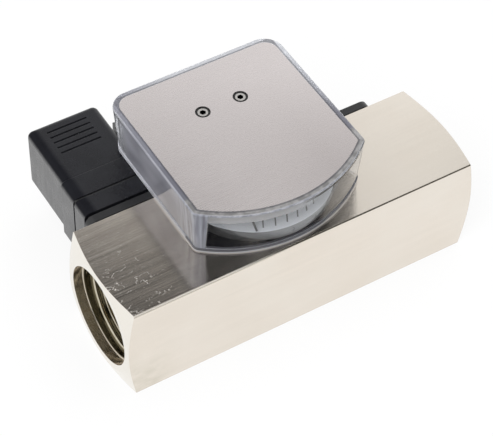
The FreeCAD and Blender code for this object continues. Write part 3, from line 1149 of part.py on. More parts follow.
def make_plug_hood():
    """Moulded hood: skirt, stepped hood, cavity, gland sleeve, grip grooves and screw recess."""
    piece = new_body("plug_hood")
    hood = new_sketch(piece, "hood", "XZ_Plane", f"-{HOOD_Y}")
    width = "(Sizes.plug_width - 2 * Sizes.hood_inset)"
    height = "(Sizes.plug_height - 2 * Sizes.hood_inset)"
    rectangle(hood, PLUG_X, PLUG_Z, width, height)
    extrude(piece, "Pad", hood, "Sizes.plug_length", backwards=True)
    dress(piece, "Fillet", "hood_edges", "Sizes.plug_corner", lambda e: straight_along(e, Y_AXIS))
    end = rim_of(piece, Y_AXIS, HOOD_BACK)
    dress(piece, "Fillet", "hood_end", "Sizes.plug_corner * 0.9", lambda e: is_one_of(e, end))
    skirt = new_sketch(piece, "skirt", "XZ_Plane", f"-{HOOD_Y}")
    rectangle(skirt, PLUG_X, PLUG_Z, "Sizes.plug_width", "Sizes.plug_height")
    extrude(piece, "Pad", skirt, "Sizes.skirt_depth", backwards=True)
    limit = value(SKIRT_BACK) + SMALL
    dress(piece, "Fillet", "skirt_edges", "Sizes.plug_corner",
          lambda e: straight_along(e, Y_AXIS) and max(v.Y for v in e.Vertexes) < limit)
    step = rim_of(piece, Y_AXIS, SKIRT_BACK)
    dress(piece, "Chamfer", "skirt_step", "Sizes.hood_inset * 0.8", lambda e: is_one_of(e, step))
    sleeve = new_sketch(piece, "sleeve", "YZ_Plane", f"{HOOD_RIGHT} - Sizes.hood_wall")
    circle(sleeve, GLAND_Y, PLUG_Z, "Sizes.gland_radius")
    extrude(piece, "Pad", sleeve, "Sizes.gland_sleeve + Sizes.hood_wall")
    cavity = new_sketch(piece, "cavity", "XZ_Plane", f"-{HOOD_Y}")
    rectangle(cavity, PLUG_X, PLUG_Z, CAVITY_WIDTH, CAVITY_HEIGHT)
    extrude(piece, "Pocket", cavity, f"{CAVITY_BACK} - {HOOD_Y}")
    bore = new_sketch(piece, "gland_bore", "YZ_Plane", SLEEVE_END)
    circle(bore, GLAND_Y, PLUG_Z, "Sizes.gland_bore")
    extrude(piece, "Pocket", bore, "Sizes.gland_sleeve + 1.5 * Sizes.hood_wall")
    recess = new_sketch(piece, "screw_recess", "XZ_Plane", f"-{HOOD_BACK}")
    circle(recess, PLUG_X, PLUG_Z, "Sizes.plug_screw_head * 1.15")
    extrude(piece, "Pocket", recess, "Sizes.plug_screw_height + Sizes.plug_screw_sunk", backwards=True)
    way = new_sketch(piece, "screw_way", "XZ_Plane", f"-{HOOD_BACK}")
    circle(way, PLUG_X, PLUG_Z, "Sizes.plug_screw_radius + Sizes.fit_gap")
    extrude(piece, "Pocket", way, "Sizes.hood_end", backwards=True)
    cut_grip_grooves(piece)


def cut_grip_grooves(piece):
    """A row of plain grooves across the hood's top."""
    groove = new_sketch(piece, "groove", "XY_Plane", HOOD_TOP)
    middle = f"({HOOD_BACK} - Sizes.groove_start)"
    rectangle(groove, PLUG_X, middle, "Sizes.groove_length", "Sizes.groove_width")
    first = extrude(piece, "Pocket", groove, "Sizes.groove_depth")
    row = piece.newObject("PartDesign::LinearPattern", "plug_hood_grooves")
    row.Originals = [first]
    row.Direction = (groove, ["V_Axis"])
    row.Reversed = True
    row.setExpression("Length", "Sizes.groove_pitch * (Sizes.groove_count - 1)")
    row.setExpression("Occurrences", "Sizes.groove_count")
    piece.Tip = row
    doc.recompute()


def make_plug_inside():
    """Seal, terminal block and the long central screw of the plug."""
    make_frame_seal("plug_seal", BASE_BACK, "Sizes.seal_thickness", "Sizes.seal_inset",
                    CAVITY_WIDTH, CAVITY_HEIGHT)
    terminal = new_body("terminal_block")
    face = new_sketch(terminal, "face", "XZ_Plane", f"-{BLOCK_Y}")
    rectangle(face, PLUG_X, PLUG_Z, CAVITY_WIDTH, CAVITY_HEIGHT)
    extrude(terminal, "Pad", face, "Sizes.block_depth", backwards=True)
    cut_blade_slots(terminal, BLOCK_Y, "Sizes.block_depth")
    way = new_sketch(terminal, "screw_way", "XZ_Plane", f"-{BLOCK_Y}")
    circle(way, PLUG_X, PLUG_Z, "Sizes.plug_screw_radius + Sizes.fit_gap")
    extrude(terminal, "Pocket", way, "Sizes.block_depth")
    seat = f"({HOOD_BACK} - Sizes.plug_screw_sunk - Sizes.plug_screw_height)"
    foot = f"({BASE_BACK} - Sizes.base_depth / 4)"
    centre = (PLUG_X, PLUG_Z)
    head = rod("plug_screw_cheese", (centre[0], seat, centre[1]), "y", "Sizes.plug_screw_head",
               "Sizes.plug_screw_height")
    shank = rod("plug_screw_shank", (centre[0], foot, centre[1]), "y", "Sizes.plug_screw_radius",
                f"{seat} - {foot}")
    whole = joined("plug_screw_whole", "Fuse", head, shank)
    slot_low = (f"{centre[0]} - Sizes.plug_screw_head", f"{seat} + Sizes.plug_screw_height / 2",
                f"{centre[1]} - Sizes.plug_screw_slot / 2")
    slot = block("plug_screw_slot", slot_low, ("2 * Sizes.plug_screw_head", "Sizes.plug_screw_height / 2",
                                               "Sizes.plug_screw_slot"))
    alone(joined("plug_screw", "Cut", whole, slot), "plug_screw")


def make_gland():
    """Gland nut over the sleeve, with its washer and the cable grommet."""
    nut = new_body("gland_nut")
    hexagon_face = new_sketch(nut, "hexagon", "YZ_Plane", SLEEVE_END, across=GLAND_Y, up=PLUG_Z)
    circumradius = "(Sizes.gland_nut_width / (2 * cos(30)))"
    turns = range(30, 390, 60)
    corners = [(f"({circumradius} * cos({turn}))", f"({circumradius} * sin({turn}))") for turn in turns]
    outline(hexagon_face, corners)
    extrude(nut, "Pad", hexagon_face, "Sizes.gland_nut_length")
    turned = new_sketch(nut, "turned", "XY_Plane", PLUG_Z, up=GLAND_Y)
    rim = "(Sizes.gland_nut_width / 2 - Sizes.gland_nut_chamfer / 2)"
    outline(turned, [(f"{NUT_END} - Sizes.gland_nut_chamfer", f"{rim} + Sizes.gland_nut_chamfer * 2"),
                     (NUT_END, rim), (NUT_END, f"{rim} + Sizes.gland_nut_chamfer * 2")])
    revolve(nut, "Groove", turned, "H_Axis")
    room = new_sketch(nut, "room", "YZ_Plane", SLEEVE_END)
    circle(room, GLAND_Y, PLUG_Z, "Sizes.gland_bore")
    extrude(nut, "Pocket", room, "Sizes.gland_nut_length - Sizes.gland_nut_wall", backwards=True)
    mouth = new_sketch(nut, "mouth", "YZ_Plane", SLEEVE_END)
    circle(mouth, GLAND_Y, PLUG_Z, "Sizes.cable_radius")
    extrude(nut, "Pocket", mouth, "Sizes.gland_nut_length", backwards=True)
    washer_x = f"({NUT_END} - Sizes.gland_nut_wall - Sizes.gland_washer_thickness)"
    make_gland_ring("gland_washer", washer_x, "Sizes.gland_washer_thickness")
    make_gland_ring("gland_seal", f"({washer_x} - Sizes.gland_seal_length)", "Sizes.gland_seal_length")


def make_gland_ring(name, start, length):
    """A ring in the gland's bore, round the cable's hole."""
    ring = new_body(name)
    face = new_sketch(ring, "face", "YZ_Plane", start)
    circle(face, GLAND_Y, PLUG_Z, "Sizes.gland_bore - Sizes.fit_gap")
    circle(face, GLAND_Y, PLUG_Z, "Sizes.cable_radius")
    extrude(ring, "Pad", face, length)


def check_document():
    """Stops if an object failed or a piece has no sound solid."""
    doc.recompute()
    failed = [item.Name for item in doc.Objects if {"Invalid", "Error"} & set(item.State)]
    if failed:
        raise ValueError(f"objects failed: {failed}")
    for piece in pieces:
        if piece.Shape.isNull() or not piece.Shape.isValid() or not piece.Shape.Solids:
            raise ValueError(f"{piece.Label} has no valid solid")


def write_parts():
    """Writes each piece to its own file."""
    os.makedirs("parts", exist_ok=True)
    for piece in pieces:
        piece.Shape.exportStep(f"parts/{piece.Label}.step")


fill_sheet()
make_meter_body()
make_flow_insert()
make_piston()
make_spring()
make_retaining_rings()
make_back_plate()
make_plate_screws()
make_switch_housing()
make_switch()
make_pointer()
make_pivot()
make_dial()
make_clear_cover()
make_top_plate()
make_cover_screws()
make_socket()
make_plug_hood()
make_plug_inside()
make_gland()
check_document()
write_parts()
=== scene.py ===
import json
import math

import bmesh
import bpy
from mathutils import Matrix, Vector


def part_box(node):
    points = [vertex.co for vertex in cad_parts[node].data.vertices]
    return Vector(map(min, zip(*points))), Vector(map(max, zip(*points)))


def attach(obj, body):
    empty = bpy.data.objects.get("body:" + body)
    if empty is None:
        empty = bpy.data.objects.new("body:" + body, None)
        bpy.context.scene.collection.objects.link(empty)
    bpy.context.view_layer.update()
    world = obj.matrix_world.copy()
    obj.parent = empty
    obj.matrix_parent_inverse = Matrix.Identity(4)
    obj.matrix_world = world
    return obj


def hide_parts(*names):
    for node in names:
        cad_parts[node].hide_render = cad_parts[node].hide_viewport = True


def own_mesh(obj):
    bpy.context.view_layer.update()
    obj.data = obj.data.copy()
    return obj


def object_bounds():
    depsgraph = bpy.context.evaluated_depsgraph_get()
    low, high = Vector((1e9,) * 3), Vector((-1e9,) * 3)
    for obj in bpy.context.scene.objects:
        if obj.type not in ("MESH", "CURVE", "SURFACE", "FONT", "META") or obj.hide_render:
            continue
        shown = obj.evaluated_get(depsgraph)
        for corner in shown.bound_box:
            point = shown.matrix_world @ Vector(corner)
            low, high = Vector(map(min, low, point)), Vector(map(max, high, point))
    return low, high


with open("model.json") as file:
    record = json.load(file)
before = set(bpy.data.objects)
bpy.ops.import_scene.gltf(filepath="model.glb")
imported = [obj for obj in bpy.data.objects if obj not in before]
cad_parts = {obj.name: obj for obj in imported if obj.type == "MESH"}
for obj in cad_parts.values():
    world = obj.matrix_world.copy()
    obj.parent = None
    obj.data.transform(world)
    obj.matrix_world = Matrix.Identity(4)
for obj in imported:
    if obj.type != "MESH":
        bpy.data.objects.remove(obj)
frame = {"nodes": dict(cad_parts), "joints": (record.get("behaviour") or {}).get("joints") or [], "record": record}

# The solids' box, and what the other pieces and the patterns are placed by, all in metres.
CAD_BOX = [list(corner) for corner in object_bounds()]
MM = 0.001
NODES = frame["nodes"]
MOUNTS = {mount["name"]: mount for mount in frame["record"]["mounts"]}
JOINTS = {joint["name"]: joint for joint in frame["joints"]}
BAR_LOW, BAR_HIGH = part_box("meter_body")
BAR_FRONT = BAR_LOW.y
BAR_TOP = BAR_HIGH.z
BAR_CHAMFER = 0.4 * MM
FLOW_HEIGHT = MOUNTS["inlet_port"]["pos_m"][2]
PIVOT = Vector(JOINTS["pointer_swing"]["pos_m"])

# Directions of the frame's axes.
X_AXIS = (1.0, 0.0, 0.0)
Y_AXIS = (0.0, 1.0, 0.0)
Z_AXIS = (0.0, 0.0, 1.0)

# Cosines between which a face goes from not looking along an axis to looking along it.
FACING_LIMITS = (0.80, 0.95)

# Length after which Blender's wave texture repeats at a scale of 1.
WAVE_PERIOD = 0.1 * math.pi

# Angle from which an edge between two faces is shaded as sharp.
SHARP_ANGLE = math.radians(40)

# Thread in the two ports: a British standard pipe thread of one inch. It runs out over a part of a turn
# at each end, down to a small share of its size.
THREAD_PITCH = 2.309 * MM
THREAD_DEPTH = 1.40 * MM
THREAD_SUNK = 0.04 * MM
THREAD_FOOT = 1.02 * MM
THREAD_SHOULDER = 0.46 * MM
THREAD_STEPS = 72
THREAD_RUN_OUT = 0.45
THREAD_END_SHARE = 0.03

# Radius about the flow's axis within which the bar is darker.
BORE_SHADE_RADIUS = 17.0 * MM

# Height from which a cover screw is painted in shade, apart from its head's top face.
SCREW_SHADE_FROM = 50.0 * MM

# Return spring.
SPRING_END_PITCH = 1.32 * MM
SPRING_WIRE = 1.2 * MM
SPRING_TURNS = 7
SPRING_STEPS = 48
SPRING_SIDES = 14

# Marks printed on the white dial: ticks on its face, numbers on its edge. The first mark's place and the
# step to the next one are degrees about the pivot, from the front.
DIAL_RADIUS = 24.0 * MM
MARK_FIRST = -12.0
MARK_STEP = 5.8
MARK_COUNT = 6
MARK_LEAN = math.radians(-28.0)
MARK_WIDTH = 0.42 * MM
MARK_THICKNESS = 0.05 * MM
MARK_SUNK = 0.03 * MM
MARK_LENGTH = 4.4 * MM
MARK_FROM_EDGE = 2.2 * MM
NUMBER_SIZE = 2.3 * MM
NUMBER_BASE = 42.2 * MM

# The cover's polished window: half of its width, its back and its top. Under it is the cover's lip, painted light
# with painted shade at the front, and a painted highlight line at its foot; its upper left part shows the web
# under the steel plate, painted light grey for the white dial seen through it.
WINDOW_HALF = 28.0 * MM
WINDOW_BACK = 0.0
WINDOW_TOP = 57.8 * MM
LIP_TOP = 41.4 * MM
LIP_LINE = 40.5 * MM
WEB_FOOT = 54.9 * MM

# The photograph's frame and the camera that took it, from fitted edges of the bar and the cover.
IMAGE_WIDTH = 493
SENSOR_WIDTH = 36.0
FOCAL_PIXELS = 1829.6
CAMERA_AZIMUTH = math.radians(-33.0)
CAMERA_ELEVATION = math.radians(48.98)
CAMERA_ROLL = math.radians(2.31)
CAMERA_DISTANCE = 609.0 * MM
CAMERA_SHIFT_RIGHT = 9.04 * MM
CAMERA_SHIFT_UP = -6.44 * MM


class Look:
    """A node material: one Principled surface, with patterns for its colour, gloss and relief."""

    def __init__(self, name, colour, roughness, metallic=0.0, **sockets):
        self.material = bpy.data.materials.new(name)
        self.material.use_nodes = True
        self.tree = self.material.node_tree
        self.surface = self.tree.nodes["Principled BSDF"]
        self.colour = colour
        self.put("Base Color", (*colour, 1.0))
        self.put("Roughness", roughness)
        self.put("Metallic", metallic)
        for socket, number in sockets.items():
            self.put(socket.replace("_", " "), number)
        self.place = self.node("ShaderNodeTexCoord").outputs["Object"]
        self.bumps = None

    def put(self, socket, number):
        """Sets a socket of the surface."""
        self.surface.inputs[socket].default_value = number

    def node(self, kind, **settings):
        """A new node of a kind, with its settings."""
        made = self.tree.nodes.new(kind)
        for name, setting in settings.items():
            setattr(made, name, setting)
        return made

    def join(self, source, target):
        """Links an output to an input."""
        self.tree.links.new(source, target)

    def noise(self, size, detail=3.0, contrast=(0.0, 1.0), seed=0.0):
        """Cloudy pattern from 0 to 1, whose patches measure size, one length or a length for each axis."""
        lengths = size if hasattr(size, "__len__") else (size, size, size)
        mapping = self.node("ShaderNodeMapping")
        mapping.inputs["Scale"].default_value = [1.0 / length for length in lengths]
        mapping.inputs["Location"].default_value = (seed, seed, seed)
        self.join(self.place, mapping.inputs["Vector"])
        cloud = self.node("ShaderNodeTexNoise")
        cloud.inputs["Scale"].default_value = 1.0
        cloud.inputs["Detail"].default_value = detail
        self.join(mapping.outputs["Vector"], cloud.inputs["Vector"])
        return self.spread(cloud.outputs["Fac"], contrast)

    def rings(self, pitch, centre):
        """Fine circles about a line along X through centre, as a turning tool leaves them."""
        mapping = self.node("ShaderNodeMapping")
        mapping.inputs["Location"].default_value = [-length for length in centre]
        self.join(self.place, mapping.inputs["Vector"])
        wave = self.node("ShaderNodeTexWave", wave_type="RINGS", rings_direction="X")
        wave.inputs["Scale"].default_value = WAVE_PERIOD / pitch
        wave.inputs["Distortion"].default_value = 0.6
        wave.inputs["Detail"].default_value = 1.0
        self.join(mapping.outputs["Vector"], wave.inputs["Vector"])
        return wave.outputs["Fac"]

    def spread(self, pattern, contrast):
        """The pattern between the two limits of contrast, stretched to run from 0 to 1."""
        if contrast == (0.0, 1.0):
            return pattern
        stretch = self.node("ShaderNodeMapRange")
        stretch.inputs["From Min"].default_value = contrast[0]
        stretch.inputs["From Max"].default_value = contrast[1]
        self.join(pattern, stretch.inputs["Value"])
        return stretch.outputs["Result"]

    def times(self, one, other):
        """The product of two patterns: high only where both are."""
        product = self.node("ShaderNodeMath", operation="MULTIPLY")
        self.join(one, product.inputs[0])
        self.join(other, product.inputs[1])
        return product.outputs["Value"]

    def most(self, one, other):
        """The larger of two patterns: high where either is."""
        larger = self.node("ShaderNodeMath", operation="MAXIMUM")
        self.join(one, larger.inputs[0])
        self.join(other, larger.inputs[1])
        return larger.outputs["Value"]

    def along(self, course, nothing, full):
        """From 0 where the distance along a course is nothing, to 1 where it is full."""
        product = self.node("ShaderNodeVectorMath", operation="DOT_PRODUCT")
        product.inputs[1].default_value = course
        self.join(self.place, product.inputs[0])
        return self.spread(product.outputs["Value"], (nothing, full))

    def from_line(self, centre, axes, nothing, full):
        """From 0 where the distance from centre, over some axes only, is nothing, to 1 where it is full."""
        mapping = self.node("ShaderNodeMapping")
        mapping.inputs["Location"].default_value = [-length * axis for length, axis in zip(centre, axes)]
        mapping.inputs["Scale"].default_value = axes
        self.join(self.place, mapping.inputs["Vector"])
        length = self.node("ShaderNodeVectorMath", operation="LENGTH")
        self.join(mapping.outputs["Vector"], length.inputs[0])
        return self.spread(length.outputs["Value"], (nothing, full))

    def rest(self, pattern):
        """1 where the pattern is 0, and 0 where it is 1."""
        return self.spread(pattern, (1.0, 0.0))

    def facing_along(self, axis):
        """1 on faces that look along an axis, either way, and 0 on the others."""
        normal = self.node("ShaderNodeNewGeometry").outputs["True Normal"]
        parts = self.node("ShaderNodeSeparateXYZ")
        self.join(normal, parts.inputs["Vector"])
        size = self.node("ShaderNodeMath", operation="ABSOLUTE")
        self.join(parts.outputs[axis], size.inputs[0])
        return self.spread(size.outputs["Value"], FACING_LIMITS)

    def tint(self, pattern, colour, amount):
        """The colour goes towards another one where the pattern is high, by amount at most."""
        mix = self.node("ShaderNodeMix", data_type="RGBA")
        share = self.node("ShaderNodeMath", operation="MULTIPLY")
        share.inputs[1].default_value = amount
        self.join(pattern, share.inputs[0])
        self.join(share.outputs["Value"], mix.inputs["Factor"])
        base = self.surface.inputs["Base Color"]
        if base.is_linked:
            self.join(base.links[0].from_socket, mix.inputs["A"])
        else:
            mix.inputs["A"].default_value = (*self.colour, 1.0)
        mix.inputs["B"].default_value = (*colour, 1.0)
        self.join(mix.outputs["Result"], base)

    def vary(self, socket, pattern, low, high):
        """A socket of the surface goes from low to high with the pattern."""
        shift = self.node("ShaderNodeMapRange")
        shift.inputs["To Min"].default_value = low
        shift.inputs["To Max"].default_value = high
        self.join(pattern, shift.inputs["Value"])
        self.join(shift.outputs["Result"], self.surface.inputs[socket])

    def gloss(self, pattern, low, high):
        """Roughness from low to high with the pattern."""
        self.vary("Roughness", pattern, low, high)

    def relief(self, pattern, height, strength):
        """Raises the surface by height where the pattern is high, on top of what is raised already."""
        bump = self.node("ShaderNodeBump")
        bump.inputs["Distance"].default_value = height
        bump.inputs["Strength"].default_value = strength
        self.join(pattern, bump.inputs["Height"])
        if self.bumps is not None:
            self.join(self.bumps, bump.inputs["Normal"])
        self.bumps = bump.outputs["Normal"]
        self.join(self.bumps, self.surface.inputs["Normal"])

    def round_edges(self, radius):
        """Lets sharp edges catch the light as if they were rounded by radius."""
        bevel = self.node("ShaderNodeBevel", samples=6)
        bevel.inputs["Radius"].default_value = radius
        self.bumps = bevel.outputs["Normal"]
        self.join(self.bumps, self.surface.inputs["Normal"])


def nickel_look():
    """Satin nickel on the bar: brushed along it, turned at its ends, with wear and scuffs near the inlet, and
    painted shade and painted reflections on its top and front edge.
    """
    look = Look("nickel", (0.805, 0.738, 0.655), 0.16, metallic=1.0)
    look.round_edges(0.18 * MM)
    level = look.facing_along("Z")
    sides = look.facing_along("Y")
    ends = look.facing_along("X")
    brushed = look.noise((38 * MM, 0.45 * MM, 0.45 * MM), detail=4.0, contrast=(0.25, 0.75))
    drawn = look.noise((60 * MM, 2.6 * MM, 2.6 * MM), detail=2.0, contrast=(0.3, 0.7), seed=7.0)
    turned = look.times(look.rings(0.42 * MM, (0.0, 0.0, FLOW_HEIGHT)), ends)
    spots = look.noise((0.9 * MM, 0.5 * MM, 0.5 * MM), detail=2.0, contrast=(0.66, 0.74), seed=3.0)
    clouds = look.noise(24 * MM, detail=4.0, contrast=(0.35, 0.7), seed=11.0)
    mottled = look.noise((9 * MM, 5 * MM, 5 * MM), detail=3.0, contrast=(0.35, 0.65), seed=13.0)
    look.tint(drawn, (0.70, 0.645, 0.56), 0.2)
    look.tint(clouds, (0.835, 0.785, 0.712), 0.5)
    scuffs = wear_at_inlet(look, level, drawn, mottled)
    # Painted shade on the bar's top towards its front right.
    painted_shade = look.times(look.along(X_AXIS, 20 * MM, 62 * MM), look.along(Y_AXIS, 14 * MM, BAR_FRONT))
    look.tint(look.times(level, painted_shade), (0.68, 0.63, 0.56), 0.9)
    painted_edge_highlight = lines_at_top_edges(look, sides)
    look.tint(ends, (0.88, 0.85, 0.785), 0.8)
    look.tint(spots, (0.92, 0.90, 0.86), 0.5)
    smeared = look.times(look.along(X_AXIS, -46 * MM, -58 * MM), look.along(Z_AXIS, 26 * MM, 4 * MM))
    look.tint(look.times(look.times(smeared, mottled), sides), (0.62, 0.58, 0.48), 0.6)
    outside = BORE_SHADE_RADIUS + 0.1 * MM
    bore = look.from_line((0.0, 0.0, FLOW_HEIGHT), (0.0, 1.0, 1.0), outside, BORE_SHADE_RADIUS)
    look.tint(bore, (0.26, 0.235, 0.165), 1.0)
    rough = look.spread(look.most(scuffs, painted_edge_highlight), (0.0, 1.6))
    look.gloss(look.most(look.spread(brushed, (0.0, 7.8)), rough), 0.12, 0.9)
    look.relief(look.times(brushed, level), 0.004 * MM, 0.5)
    look.relief(turned, 0.004 * MM, 0.4)
    look.relief(spots, 0.01 * MM, 0.6)
    return look.material


def wear_at_inlet(look, level, drawn, mottled):
    """Scratched nickel on level faces near the inlet, darker in patches as a painted dark reflection, with bright
    scuffs on the bar's top.

    Gives the pattern of the scuffs.
    """
    scratches = look.noise((12 * MM, 0.22 * MM, 0.22 * MM), detail=2.0, contrast=(0.60, 0.72), seed=9.0)
    wear_and_dark_reflection = look.times(level, look.along(X_AXIS, -24 * MM, -40 * MM))
    # Painted dark reflection, in patches, on the level nickel near the inlet; the scratches below are real wear.
    look.tint(look.times(wear_and_dark_reflection, drawn), (0.52, 0.45, 0.39), 0.35)
    look.tint(look.times(wear_and_dark_reflection, mottled), (0.60, 0.52, 0.46), 0.3)
    look.tint(look.times(wear_and_dark_reflection, scratches), (0.90, 0.88, 0.84), 0.4)
    creases = look.noise((7 * MM, 4 * MM, 4 * MM), detail=5.0, seed=21.0)
    creases = look.times(look.spread(creases, (0.491, 0.5)), look.spread(creases, (0.509, 0.5)))
    broken = look.noise(3.5 * MM, detail=2.0, contrast=(0.5, 0.6), seed=23.0)
    corner = look.times(look.along(X_AXIS, -42 * MM, -54 * MM), look.along(Y_AXIS, 12 * MM, -8 * MM))
    on_top = look.times(wear_and_dark_reflection, look.along(Z_AXIS, BAR_TOP - 1.0 * MM, BAR_TOP - 0.5 * MM))
    scuffs = look.times(look.times(creases, broken), look.times(on_top, corner))
    look.tint(scuffs, (0.97, 0.95, 0.92), 0.7)
    return scuffs


def lines_at_top_edges(look, sides):
    """A fine line of painted dark reflection under the top edges near the inlet, and the front chamfer, dark to
    bright.

    The chamfer is a painted reflection, dark near the outlet, with a painted highlight near the inlet. Gives the
    pattern of its bright part.
    """
    foot = BAR_TOP - BAR_CHAMFER
    back = BAR_FRONT + BAR_CHAMFER
    sharp = 0.06 * MM
    # Painted dark reflection: a fine line under the top edges near the inlet.
    painted_dark_line = look.times(sides, look.along(Z_AXIS, foot - 0.55 * MM, foot - 0.25 * MM))
    look.tint(look.times(painted_dark_line, look.along(X_AXIS, 10 * MM, -30 * MM)), (0.34, 0.30, 0.23), 0.7)
    # Painted dark reflection on the front chamfer.
    chamfer = look.times(look.along(Z_AXIS, foot, foot + sharp), look.along(Y_AXIS, back, back - sharp))
    look.tint(chamfer, (0.17, 0.145, 0.11), 0.9)
    # Painted highlight on the chamfer near the inlet.
    bright = look.times(chamfer, look.along(X_AXIS, -5 * MM, -30 * MM))
    look.tint(bright, (0.95, 0.90, 0.83), 1.0)
    return bright


def thread_look():
    """Nickel on the cut thread: bright, with faint tool chatter."""
    look = Look("nickel_thread", (0.62, 0.575, 0.47), 0.12, metallic=1.0)
    chatter = look.noise((0.5 * MM, 2.2 * MM, 2.2 * MM), contrast=(0.3, 0.7))
    look.tint(chatter, (0.36, 0.32, 0.23), 0.5)
    look.gloss(chatter, 0.09, 0.2)
    look.relief(chatter, 0.006 * MM, 0.5)
    return look.material


def turned_look(name, colour, roughness):
    """A turned metal piece: fine circular marks and a slight change of tone."""
    look = Look(name, colour, roughness, metallic=1.0)
    grain = look.noise((0.25 * MM, 2.5 * MM, 2.5 * MM), contrast=(0.3, 0.7))
    clouds = look.noise(5 * MM, contrast=(0.35, 0.7), seed=5.0)
    look.tint(clouds, [0.82 * part for part in colour], 0.6)
    look.gloss(grain, roughness * 0.8, roughness * 1.35)
    look.relief(grain, 0.004 * MM, 0.5)
    return look.material


def screw_look():
    """Steel screws of the cover: bright heads, with painted shade in their sockets and round their sunk part."""
    look = Look("screw_steel", (0.66, 0.64, 0.615), 0.26, metallic=1.0)
    grain = look.noise(0.4 * MM, contrast=(0.3, 0.7))
    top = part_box("cover_screws")[1].z
    sunk = look.along(Z_AXIS, top - 0.10 * MM, top - 0.25 * MM)
    dark = look.times(sunk, look.along(Z_AXIS, SCREW_SHADE_FROM, SCREW_SHADE_FROM + 1.0 * MM))
    look.tint(grain, (0.52, 0.50, 0.48), 0.5)
    # Painted shade in the socket and round the sunk head.
    look.tint(dark, (0.01, 0.01, 0.012), 1.0)
    look.gloss(grain, 0.2, 0.34)
    look.relief(grain, 0.004 * MM, 0.5)
    return look.material


def plate_look():
    """Stainless sheet of the cover's top: finely brushed along X, with painted shade at its front right and on its
    underside.
    """
    look = Look("brushed_stainless", (0.79, 0.737, 0.73), 0.28, metallic=1.0)
    grain = look.noise((9 * MM, 0.14 * MM, 0.14 * MM), detail=3.0, contrast=(0.25, 0.75))
    clouds = look.noise((22 * MM, 12 * MM, 12 * MM), contrast=(0.3, 0.7), seed=4.0)
    look.tint(grain, (0.735, 0.685, 0.677), 0.5)
    look.tint(clouds, (0.82, 0.765, 0.757), 0.5)
    # Painted shade on the plate towards its front right.
    painted_shade = look.times(look.along(X_AXIS, -16 * MM, 14 * MM), look.along(Y_AXIS, 34 * MM, -12 * MM))
    look.tint(painted_shade, (0.60, 0.555, 0.548), 1.0)
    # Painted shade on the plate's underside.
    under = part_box("top_plate")[0].z
    look.tint(look.along(Z_AXIS, under + 0.15 * MM, under + 0.05 * MM), (0.05, 0.047, 0.042), 1.0)
    look.gloss(grain, 0.24, 0.32)
    look.relief(grain, 0.002 * MM, 0.4)
    return look.material


def rim_zone(look, width):
    """1 on the cover's top within a width of its outline, and 0 further in."""
    low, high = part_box("clear_cover")
    soft = 0.25 * MM
    half = (high.x - low.x) / 2 - width
    reach = PIVOT.y - low.y - width
    sides = look.from_line(PIVOT, X_AXIS, half, half + soft)
    rear = look.along(Y_AXIS, high.y - width, high.y - width + soft)
    arc = look.from_line(PIVOT, (1.0, 1.0, 0.0), reach, reach + soft)
    front = look.times(arc, look.along(Y_AXIS, WINDOW_BACK, WINDOW_BACK - 1.0 * MM))
    return look.most(look.most(sides, rear), front)


def clear_look():
    """Clear moulded plastic: polished in the window, lilac grey and cloudy in the thick rim and walls."""
    look = Look("clear_plastic", (0.31, 0.313, 0.36), 0.03, IOR=1.49)
    top = look.facing_along("Z")
    front = look.along(Y_AXIS, WINDOW_BACK, WINDOW_BACK - 1.0 * MM)
    lip = look.along(Z_AXIS, LIP_TOP + 0.1 * MM, LIP_TOP)
    line = look.along(Z_AXIS, LIP_LINE + 0.1 * MM, LIP_LINE)
    pane = window_pane(look, front, lip)
    web = look.times(look.along(Z_AXIS, WEB_FOOT, WEB_FOOT + 0.2 * MM), look.along(X_AXIS, 4 * MM, -6 * MM))
    web = look.times(look.times(pane, web), look.rest(top))
    tint_walls(look)
    tint_rim(look, top, front)
    # Painted highlight on the lip.
    look.tint(lip, (0.80, 0.81, 0.86), 0.8)
    # Painted shade on the lip at the front.
    look.tint(look.times(lip, front), (0.12, 0.12, 0.14), 0.85)
    # Painted highlight line at the cover's foot.
    look.tint(line, (0.84, 0.85, 0.90), 1.0)
    # The web is painted light grey, standing in for the white dial seen through it.
    look.tint(web, (0.42, 0.42, 0.43), 1.0)
    far_sides = look.most(look.along(Y_AXIS, 36 * MM, 46 * MM), look.along(X_AXIS, 12 * MM, 26 * MM))
    far_sides = look.times(far_sides, look.times(look.rest(top), look.rest(lip)))
    window = look.times(pane, look.rest(web))
    clear = look.most(window, look.spread(far_sides, (0.0, 1.2)))
    look.tint(clear, (0.93, 0.945, 0.97), 1.0)
    look.vary("Transmission Weight", clear, 0.4, 1.0)
    look.gloss(clear, 0.10, 0.02)
    look.relief(look.noise(9 * MM, detail=1.0, seed=2.0), 0.05 * MM, 0.35)
    return look.material


def window_pane(look, front, lip):
    """1 in the cover's front window, from its lip up to its rim, and 0 elsewhere."""
    across = look.from_line(PIVOT, X_AXIS, WINDOW_HALF + 0.4 * MM, WINDOW_HALF)
    under = look.along(Z_AXIS, WINDOW_TOP + 0.3 * MM, WINDOW_TOP)
    return look.times(look.times(across, front), look.times(under, look.rest(lip)))


def tint_walls(look):
    """Cloudy patches all over the cover, and a darker front with upright streaks."""
    blotches = look.noise((16 * MM, 16 * MM, 9 * MM), detail=1.0, contrast=(0.38, 0.66))
    streaks = look.noise((1.3 * MM, 1.3 * MM, 40 * MM), detail=2.0, contrast=(0.35, 0.62), seed=3.0)
    darker = look.along(Y_AXIS, 6 * MM, -3 * MM)
    look.tint(blotches, (0.64, 0.645, 0.71), 0.5)
    look.tint(darker, (0.20, 0.205, 0.25), 0.6)
    look.tint(look.times(streaks, darker), (0.62, 0.65, 0.72), 0.7)


